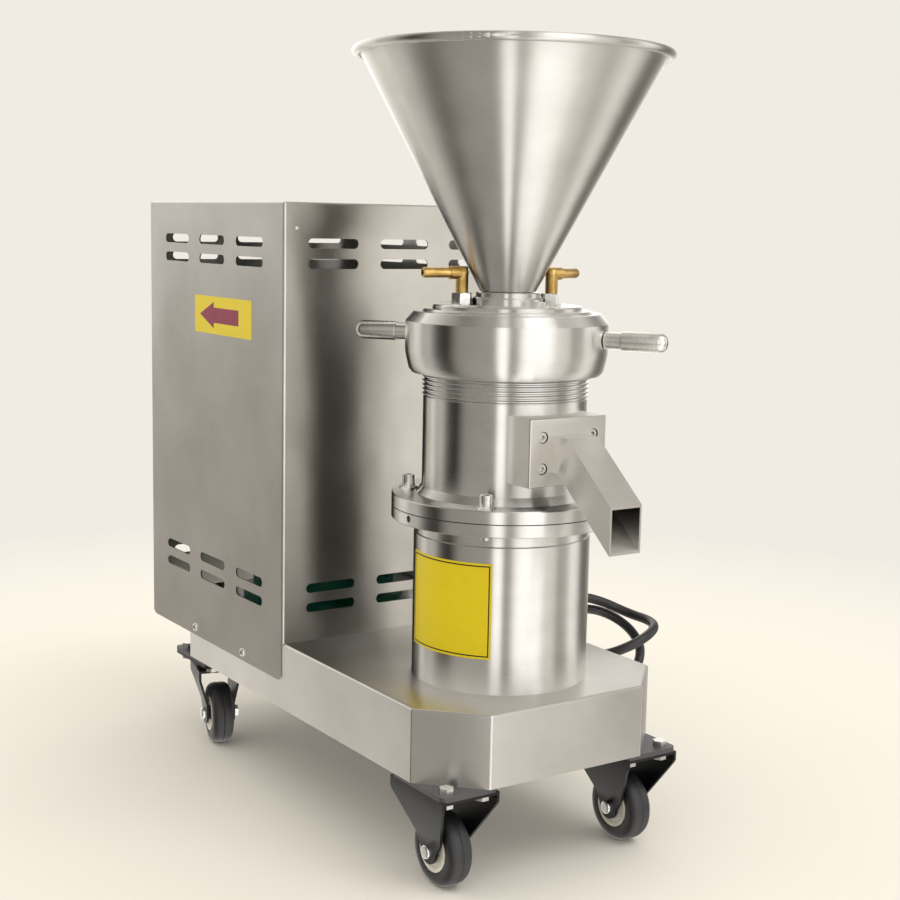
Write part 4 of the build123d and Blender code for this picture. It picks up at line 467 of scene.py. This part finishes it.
def turned_ring(profile, steps):
    """A closed ring from (radius, height) points in millimetres, spun about the upright axis."""
    work = bmesh.new()
    ring = [work.verts.new((r * MM, 0, z * MM)) for r, z in profile]
    edges = [work.edges.new((a, b)) for a, b in zip(ring, ring[1:] + ring[:1])]
    bmesh.ops.spin(work, geom=ring + edges, axis=(0, 0, 1), cent=(0, 0, 0), angle=math.tau, steps=steps,
                   use_merge=True)
    return work


def label_place(yellow, black):
    """Blank yellow plate on the lower cylinder, with its thin printed border."""
    plate = wrapped_band(HOUSING_RADIUS, LABEL_START, LABEL_END, LABEL_LOW, LABEL_HIGH, FILM)
    finish_piece(plate, "label_plate", yellow, "root")
    face = HOUSING_RADIUS + FILM
    line = LABEL_BORDER / HOUSING_RADIUS
    start = LABEL_START + LABEL_INSET / HOUSING_RADIUS
    end = LABEL_END - LABEL_INSET / HOUSING_RADIUS
    low = LABEL_LOW + LABEL_INSET
    high = LABEL_HIGH - LABEL_INSET
    bars = [
        (start, end, low, low + LABEL_BORDER),
        (start, end, high - LABEL_BORDER, high),
        (start, start + line, low, high),
        (end - line, end, low, high),
    ]
    for i, bar in enumerate(bars):
        finish_piece(wrapped_band(face, *bar, LABEL_INK), f"label_border_{i}", black, "root")


def cover_rivet(metal):
    """Small domed rivet head near the top left corner of the cover's front."""
    head = turned_ring(RIVET_HEAD, RIVET_STEPS)
    place = Matrix.Translation((COVER_LOW.x + RIVET_IN, COVER_LOW.y, RIVET_HEIGHT))
    to_front = Matrix.Rotation(math.radians(90), 4, "X")
    bmesh.ops.transform(head, matrix=place @ to_front, verts=head.verts)
    finish_piece(head, "cover_rivet", metal, "root", crease=RIVET_CREASE)


def arrow_sign(yellow, red):
    """Yellow plate with an arrow for the motor's direction, on the cover's left side."""
    to_side = Matrix(((0, 0, -1, 0), (-1, 0, 0, 0), (0, 1, 0, 0), (0, 0, 0, 1)))
    place = Matrix.Translation((COVER_LOW.x, 0, 0)) @ to_side
    front = HEAD_AXIS.y + SIGN_FRONT
    rear = HEAD_AXIS.y + SIGN_REAR
    corners = [(-rear, SIGN_BOTTOM), (-front, SIGN_BOTTOM), (-front, SIGN_TOP), (-rear, SIGN_TOP)]
    plate = plate_from_outline(corners, FILM)
    bmesh.ops.transform(plate, matrix=place, verts=plate.verts)
    finish_piece(plate, "arrow_plate", yellow, "root")
    middle = (SIGN_BOTTOM + SIGN_TOP) / 2
    tip = rear - ARROW_TIP_GAP
    neck = tip - ARROW_HEAD
    tail = front + ARROW_TAIL_GAP
    outline = [
        (-tip, middle), (-neck, middle - ARROW_BARB), (-neck, middle - ARROW_SHAFT),
        (-tail, middle - ARROW_SHAFT), (-tail, middle + ARROW_SHAFT),
        (-neck, middle + ARROW_SHAFT), (-neck, middle + ARROW_BARB),
    ]
    arrow = plate_from_outline(outline, ARROW_INK)
    bmesh.ops.transform(arrow, matrix=Matrix.Translation((-FILM, 0, 0)) @ place, verts=arrow.verts)
    finish_piece(arrow, "arrow_mark", red, "root")


def both_sides(half, middle=()):
    """A wheel's whole profile, from its half on one side and what lies in the middle."""
    return [(r, -z) for r, z in half] + list(middle) + half[::-1]


def castor_wheel(name, turn, tread_rubber, hub_plastic, core_plastic):
    """A rubber tread with a parting line, a pale hub ring and a dark bearing cap."""
    low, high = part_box(name)
    upright = Matrix.Rotation(turn, 4, "Z") @ Matrix.Rotation(math.radians(90), 4, "Y")
    place = Matrix.Translation((low + high) / 2) @ upright
    tread = turned_ring(both_sides(TREAD_HALF, PARTING_LINE), TREAD_STEPS)
    bmesh.ops.transform(tread, matrix=place, verts=tread.verts)
    piece = finish_piece(tread, f"{name}_tread", tread_rubber, name)
    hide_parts(name)
    hub = turned_ring(both_sides(HUB_HALF), HUB_STEPS)
    bmesh.ops.transform(hub, matrix=place, verts=hub.verts)
    finish_piece(hub, f"{name}_hub", hub_plastic, name)
    core = turned_ring(both_sides(CORE_HALF), CORE_STEPS)
    bmesh.ops.transform(core, matrix=place, verts=core.verts)
    finish_piece(core, f"{name}_core", core_plastic, name)


# Camera first


def photo_camera():
    """The camera of the photograph."""
    camera = bpy.data.cameras.new("photo_camera")
    camera.lens = CAMERA_LENS
    camera.sensor_width = CAMERA_SENSOR
    camera.clip_start, camera.clip_end = CAMERA_REACH
    view = bpy.data.objects.new("photo_camera", camera)
    bpy.context.scene.collection.objects.link(view)
    place = HEAD_AXIS + CAMERA_FROM_HEAD
    aim = HEAD_AXIS + TARGET_FROM_HEAD - place
    turn = aim.to_track_quat("-Z", "Y").to_matrix().to_4x4()
    view.matrix_world = Matrix.Translation(place) @ turn @ Matrix.Rotation(CAMERA_ROLL, 4, "Z")
    bpy.context.scene.camera = view


photo_camera()


# Power cord


def route_places(route, ground):
    """Points given out from the side of the base, back from the head axis and above a ground."""
    return [Vector((BASE_HIGH.x + out * MM, HEAD_AXIS.y + back * MM, ground + rise * MM))
            for out, back, rise in route]


def coil_places():
    """Turns of the put-away length, wound clockwise seen from above, starting on the -X side."""
    middle = Vector((BASE_HIGH.x + COIL_OUT * MM, HEAD_AXIS.y + COIL_BACK * MM, 0))
    widen = 1 / math.cos(math.pi / POINTS_PER_TURN)
    places = []
    for i in range(int(COIL_LAY[-1][0] * POINTS_PER_TURN) + 1):
        turns = i / POINTS_PER_TURN
        for (t0, r0, z0), (t1, r1, z1) in zip(COIL_LAY, COIL_LAY[1:]):
            if t0 <= turns <= t1:
                share = (turns - t0) / (t1 - t0)
                radius = (r0 + (r1 - r0) * share) * widen * MM
                height = (z0 + (z1 - z0) * share) * MM
        angle = math.pi - turns * math.tau
        places.append(middle + Vector((radius * math.cos(angle), radius * math.sin(angle), height)))
    return places


def power_cord(sheath):
    """Rubber sheathed cable on one smooth curve from the gland to the plug."""
    gland_low, gland_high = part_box("cord_gland")
    nose = (gland_low + gland_high) / 2
    nose.y = gland_low.y
    places = [nose] + route_places(CORD_DECK_ROUTE, BASE_HIGH.z) + route_places(CORD_FLOOR_ROUTE, 0)
    places += coil_places() + route_places(CORD_TAIL_ROUTE, 0)
    curve = bpy.data.curves.new("power_cord", "CURVE")
    curve.dimensions = "3D"
    curve.resolution_u = CORD_SPAN_STEPS
    curve.bevel_depth = CORD_DIAMETER / 2
    curve.bevel_resolution = CORD_ROUND_STEPS
    curve.use_fill_caps = True
    line = curve.splines.new("NURBS")
    line.points.add(len(places) - 1)
    for point, place in zip(line.points, places):
        point.co = (*place, 1.0)
    line.order_u = 3
    line.use_endpoint_u = True
    curve.materials.append(sheath)
    cord = bpy.data.objects.new("power_cord", curve)
    bpy.context.scene.collection.objects.link(cord)
    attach(cord, "root")
    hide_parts("cord_run", "cord_coil")


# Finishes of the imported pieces


def smooth_by_angle():
    """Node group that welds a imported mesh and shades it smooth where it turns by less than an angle."""
    group = bpy.data.node_groups.new("weld_and_smooth", "GeometryNodeTree")
    group.interface.new_socket("Geometry", in_out="INPUT", socket_type="NodeSocketGeometry")
    group.interface.new_socket("Geometry", in_out="OUTPUT", socket_type="NodeSocketGeometry")
    start = group.nodes.new("NodeGroupInput")
    end = group.nodes.new("NodeGroupOutput")
    weld = node(group, "GeometryNodeMergeByDistance", {"Distance": WELD_REACH}, {"Geometry": start})
    angle = node(group, "GeometryNodeInputMeshEdgeAngle")
    soft = node(group, "FunctionNodeCompare",
                {"data_type": "FLOAT", "operation": "LESS_EQUAL", "B": SOFT_EDGE}, {"A": angle})
    faces = node(group, "GeometryNodeSetShadeSmooth", {"domain": "FACE"}, {"Geometry": weld})
    edges = node(group, "GeometryNodeSetShadeSmooth", {"domain": "EDGE"},
                 {"Geometry": faces, "Shade Smooth": soft})
    join(group, end, {0: edges})
    return group


SMOOTHER = smooth_by_angle()


def dress(names, material):
    """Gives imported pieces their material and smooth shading."""
    for name in names:
        part = NODES[name]
        part.data.materials.clear()
        part.data.materials.append(material)
        modifier = part.modifiers.new("weld_and_smooth", "NODES")
        modifier.node_group = SMOOTHER


polished = turned_stainless("turned_stainless", ("#B9B7B3", "#C6C4C0"), 0.27)
satin = turned_stainless("satin_turned_stainless", ("#B4B2AE", "#C4C2BE"), 0.3, ring=0.5, depth=0.006)
handle_steel = polished_steel("polished_handle_stainless", "#C6C3BE", "#D6D4D0", 0.28)
spun = turned_stainless("spun_stainless_sheet", ("#B8B5B0", "#C6C4BF"), 0.32, ring=0.8, depth=0.004)
cover_sheet = brushed_sheet("brushed_stainless_cover", ("#B6B3AD", "#C9C6C1"), 0.3, "Z")
base_sheet = brushed_sheet("brushed_stainless_base", ("#B6B3AD", "#C9C6C1"), 0.3, "Y")
block_steel = brushed_sheet("milled_stainless_block", ("#B6B3AE", "#C8C5C0"), 0.3, "Y")
zinc = zinc_plate()
brass = machined_brass()
black_enamel = enamel("black_castor_enamel", "#09090A", "#101011", 0.36, gloss=0.28)
grey_enamel = enamel("grey_plate_enamel", "#3C3D40", "#4A4B4E", 0.45)
green_enamel = enamel("green_motor_enamel", "#0B6650", "#118066", 0.35)
primer = enamel("grey_primer", "#55575A", "#66686B", 0.6)
tread_rubber = rubber("moulded_tread_rubber", "#151517", "#2A2A2C", 0.5)
belt_rubber = rubber("wrapped_belt_rubber", "#101011", "#1C1C1D", 0.7)
seal_carbon = moulded_plastic("pressed_carbon_seal", "#141414", "#1E1E1E", 0.4)
gasket_rubber = rubber("nitrile_gasket", "#1A1A1A", "#262626", 0.7)
fan_plastic = moulded_plastic("moulded_fan_nylon", "#121212", "#1A1A1A", 0.45)
gland_plastic = moulded_plastic("moulded_gland_nylon", "#0E0E0F", "#161617", 0.4)
cable_rubber = rubber("extruded_cable_rubber", "#0B0B0C", "#161617", 0.42, grain=1.0)
plug_rubber = rubber("moulded_plug_rubber", "#0E0E0F", "#19191A", 0.5)
hub_plastic = moulded_plastic("moulded_hub_nylon", "#C9C5B8", "#DBD8CC", 0.4)
core_plastic = moulded_plastic("moulded_hub_core", "#1A1A1B", "#242425", 0.4)
iron = cast_iron()
yellow_film = printed_film("printed_yellow_film", "#D0BA03", "#D4BE05")
black_film = printed_film("printed_black_ink", "#141414", "#1E1E1E")
red_film = printed_film("printed_maroon_ink", "#6E1230", "#85173B")

FINISHES = [
    (polished, ["bearing_housing", "mill_housing", "adjusting_ring", "cover_plate", "stator_carrier",
                "throat_sleeve", "hopper_neck", "upper_bearing_cap", "rotor_nut"]),
    (handle_steel, ["ring_handle_rods", "ring_handle_grips"]),
    (satin, ["spindle", "motor_shaft", "rotor", "stator"]),
    (spun, ["hopper"]),
    (cover_sheet, ["motor_cover"]),
    (base_sheet, ["base_shell", "discharge_chute"]),
    (block_steel, ["outlet_block"]),
    (zinc, ["cover_screws", "castor_bolts", "flange_washers", "flange_bolts", "cover_plate_bolts",
            "water_elbow_nuts", "outlet_screws", "front_axles", "rear_axle_left", "rear_axle_right",
            "deck_bolts", "pulley_nut", "bearing_outer_races", "bearing_inner_races", "seal_face"]),
    (brass, ["water_elbows"]),
    (black_enamel, ["front_castor_brackets", "rear_castor_plates", "rear_fork_left", "rear_fork_right"]),
    (grey_enamel, ["corner_plates"]),
    (primer, ["deck_plate"]),
    (green_enamel, ["motor_flange", "motor_frame", "motor_fan_cowl", "motor_terminal_box"]),
    (belt_rubber, ["drive_belts"]),
    (iron, ["motor_pulley", "mill_pulley"]),
    (seal_carbon, ["seal_seat"]),
    (gasket_rubber, ["flange_gasket"]),
    (fan_plastic, ["motor_cooling_fan"]),
    (gland_plastic, ["cord_gland"]),
    (plug_rubber, ["cord_plug"]),
]
for finish, names in FINISHES:
    dress(names, finish)

power_cord(cable_rubber)
label_place(yellow_film, black_film)
arrow_sign(yellow_film, red_film)
cover_rivet(zinc)
for side in ("left", "right"):
    castor_wheel(f"front_wheel_{side}", 0.0, tread_rubber, hub_plastic, core_plastic)
    castor_wheel(f"rear_wheel_{side}", -REAR_CASTOR_TURN, tread_rubber, hub_plastic, core_plastic)


# Studio


def glossy_surroundings(tree):
    """What the metal mirrors: soft boxes and dark gaps at listed headings round the machine."""
    course = node(tree, "ShaderNodeTexCoord").outputs["Generated"]
    parts = node(tree, "ShaderNodeSeparateXYZ", links={0: course}).outputs
    angle = node(tree, "ShaderNodeMath", {"operation": "ARCTAN2"}, {0: parts["Y"], 1: parts["X"]})
    turn = node(tree, "ShaderNodeMath", {"operation": "MULTIPLY_ADD", 1: 1 / math.tau, 2: 0.5}, {0: angle})
    bands = node(tree, "ShaderNodeValToRGB", links={"Fac": turn},
                 stops=[((heading + 180) / 360, tone) for heading, tone in SURROUNDINGS])
    tilt = node(tree, "ShaderNodeMath", {"operation": "MULTIPLY_ADD", 1: 0.5, 2: 0.5}, {0: parts["Z"]})
    levels = node(tree, "ShaderNodeValToRGB", links={"Fac": tilt}, stops=ABOVE_AND_BELOW)
    first, second = MIX_COLOURS
    around = node(tree, "ShaderNodeMix", {"data_type": "RGBA", "blend_type": "MULTIPLY", MIX_FACTOR: 1.0},
                  {first: bands, second: levels}).outputs[MIX_COLOUR_OUT]
    bounces = node(tree, "ShaderNodeLightPath").outputs["Glossy Depth"]
    for faces, tone in ((2, TWICE_MIRRORED), (3, DEEP_INSIDE)):
        past = node(tree, "ShaderNodeMath", {"operation": "GREATER_THAN", 1: faces - 0.5}, {0: bounces})
        around = node(tree, "ShaderNodeMix", {"data_type": "RGBA", second: linear(tone)},
                      {MIX_FACTOR: past, first: around}).outputs[MIX_COLOUR_OUT]
    return around


def studio_floor():
    """Pale matt paper round the machine, which melts into the background at its edge."""
    material, tree, shader = new_material(
        "painted_studio_paper", {"Roughness": 1.0, "Specular IOR Level": 0.0})
    place = node(tree, "ShaderNodeTexCoord").outputs["Object"]
    clouds = node(tree, "ShaderNodeTexNoise", {"Scale": PER_METRE / 330, "Detail": 2.0, "Roughness": 0.6},
                  {"Vector": place})
    tone = node(tree, "ShaderNodeValToRGB", links={"Fac": clouds}, stops=[(0.3, "#EDEAE2"), (0.7, "#EEEBE3")])
    join(tree, shader, {"Base Color": tone})
    reach = node(tree, "ShaderNodeVectorMath", {"operation": "LENGTH"}, {0: place}).outputs["Value"]
    fade = node(tree, "ShaderNodeMapRange", {"From Min": FLOOR_FADE_START, "From Max": FLOOR_RADIUS},
                {"Value": reach})
    clear = node(tree, "ShaderNodeBsdfTransparent")
    melt = node(tree, "ShaderNodeMixShader", links={0: fade, 1: shader, 2: clear})
    join(tree, tree.nodes["Material Output"], {"Surface": melt})
    work = bmesh.new()
    bmesh.ops.create_circle(work, cap_ends=True, segments=FLOOR_SEGMENTS, radius=FLOOR_RADIUS)
    mesh = bpy.data.meshes.new("studio_floor")
    work.to_mesh(mesh)
    work.free()
    floor = bpy.data.objects.new("studio_floor", mesh)
    bpy.context.scene.collection.objects.link(floor)
    mesh.materials.append(material)
    floor.visible_glossy = False


def studio_world():
    """Even pale background, soft sky light on the machine, and what its metal mirrors."""
    world = bpy.data.worlds.new("studio_world")
    bpy.context.scene.world = world
    world.use_nodes = True
    tree = world.node_tree
    ray = node(tree, "ShaderNodeLightPath").outputs
    seen = node(tree, "ShaderNodeBackground", {"Color": linear(BACKGROUND), "Strength": 1.0})
    sky = node(tree, "ShaderNodeBackground", {"Color": linear(SKY_COLOUR), "Strength": SKY_STRENGTH})
    mirrored = node(tree, "ShaderNodeBackground", {"Strength": BAND_STRENGTH},
                    {"Color": glossy_surroundings(tree)})
    unseen = node(tree, "ShaderNodeMixShader", links={0: ray["Is Glossy Ray"], 1: sky, 2: mirrored})
    both = node(tree, "ShaderNodeMixShader", links={0: ray["Is Camera Ray"], 1: unseen, 2: seen})
    join(tree, tree.nodes["World Output"], {"Surface": both})


def soft_sun():
    """One broad lamp from the front left, high up, for the machine's soft shadow."""
    light = bpy.data.lights.new("soft_sun", "SUN")
    light.energy = SUN_STRENGTH
    light.angle = SUN_SPREAD
    lamp = bpy.data.objects.new("soft_sun", light)
    bpy.context.scene.collection.objects.link(lamp)
    lamp.rotation_euler = Vector(SUN_COURSE).to_track_quat("-Z", "Y").to_euler()


studio_floor()
studio_world()
soft_sun()

bpy.context.scene.view_settings.view_transform = "Standard"
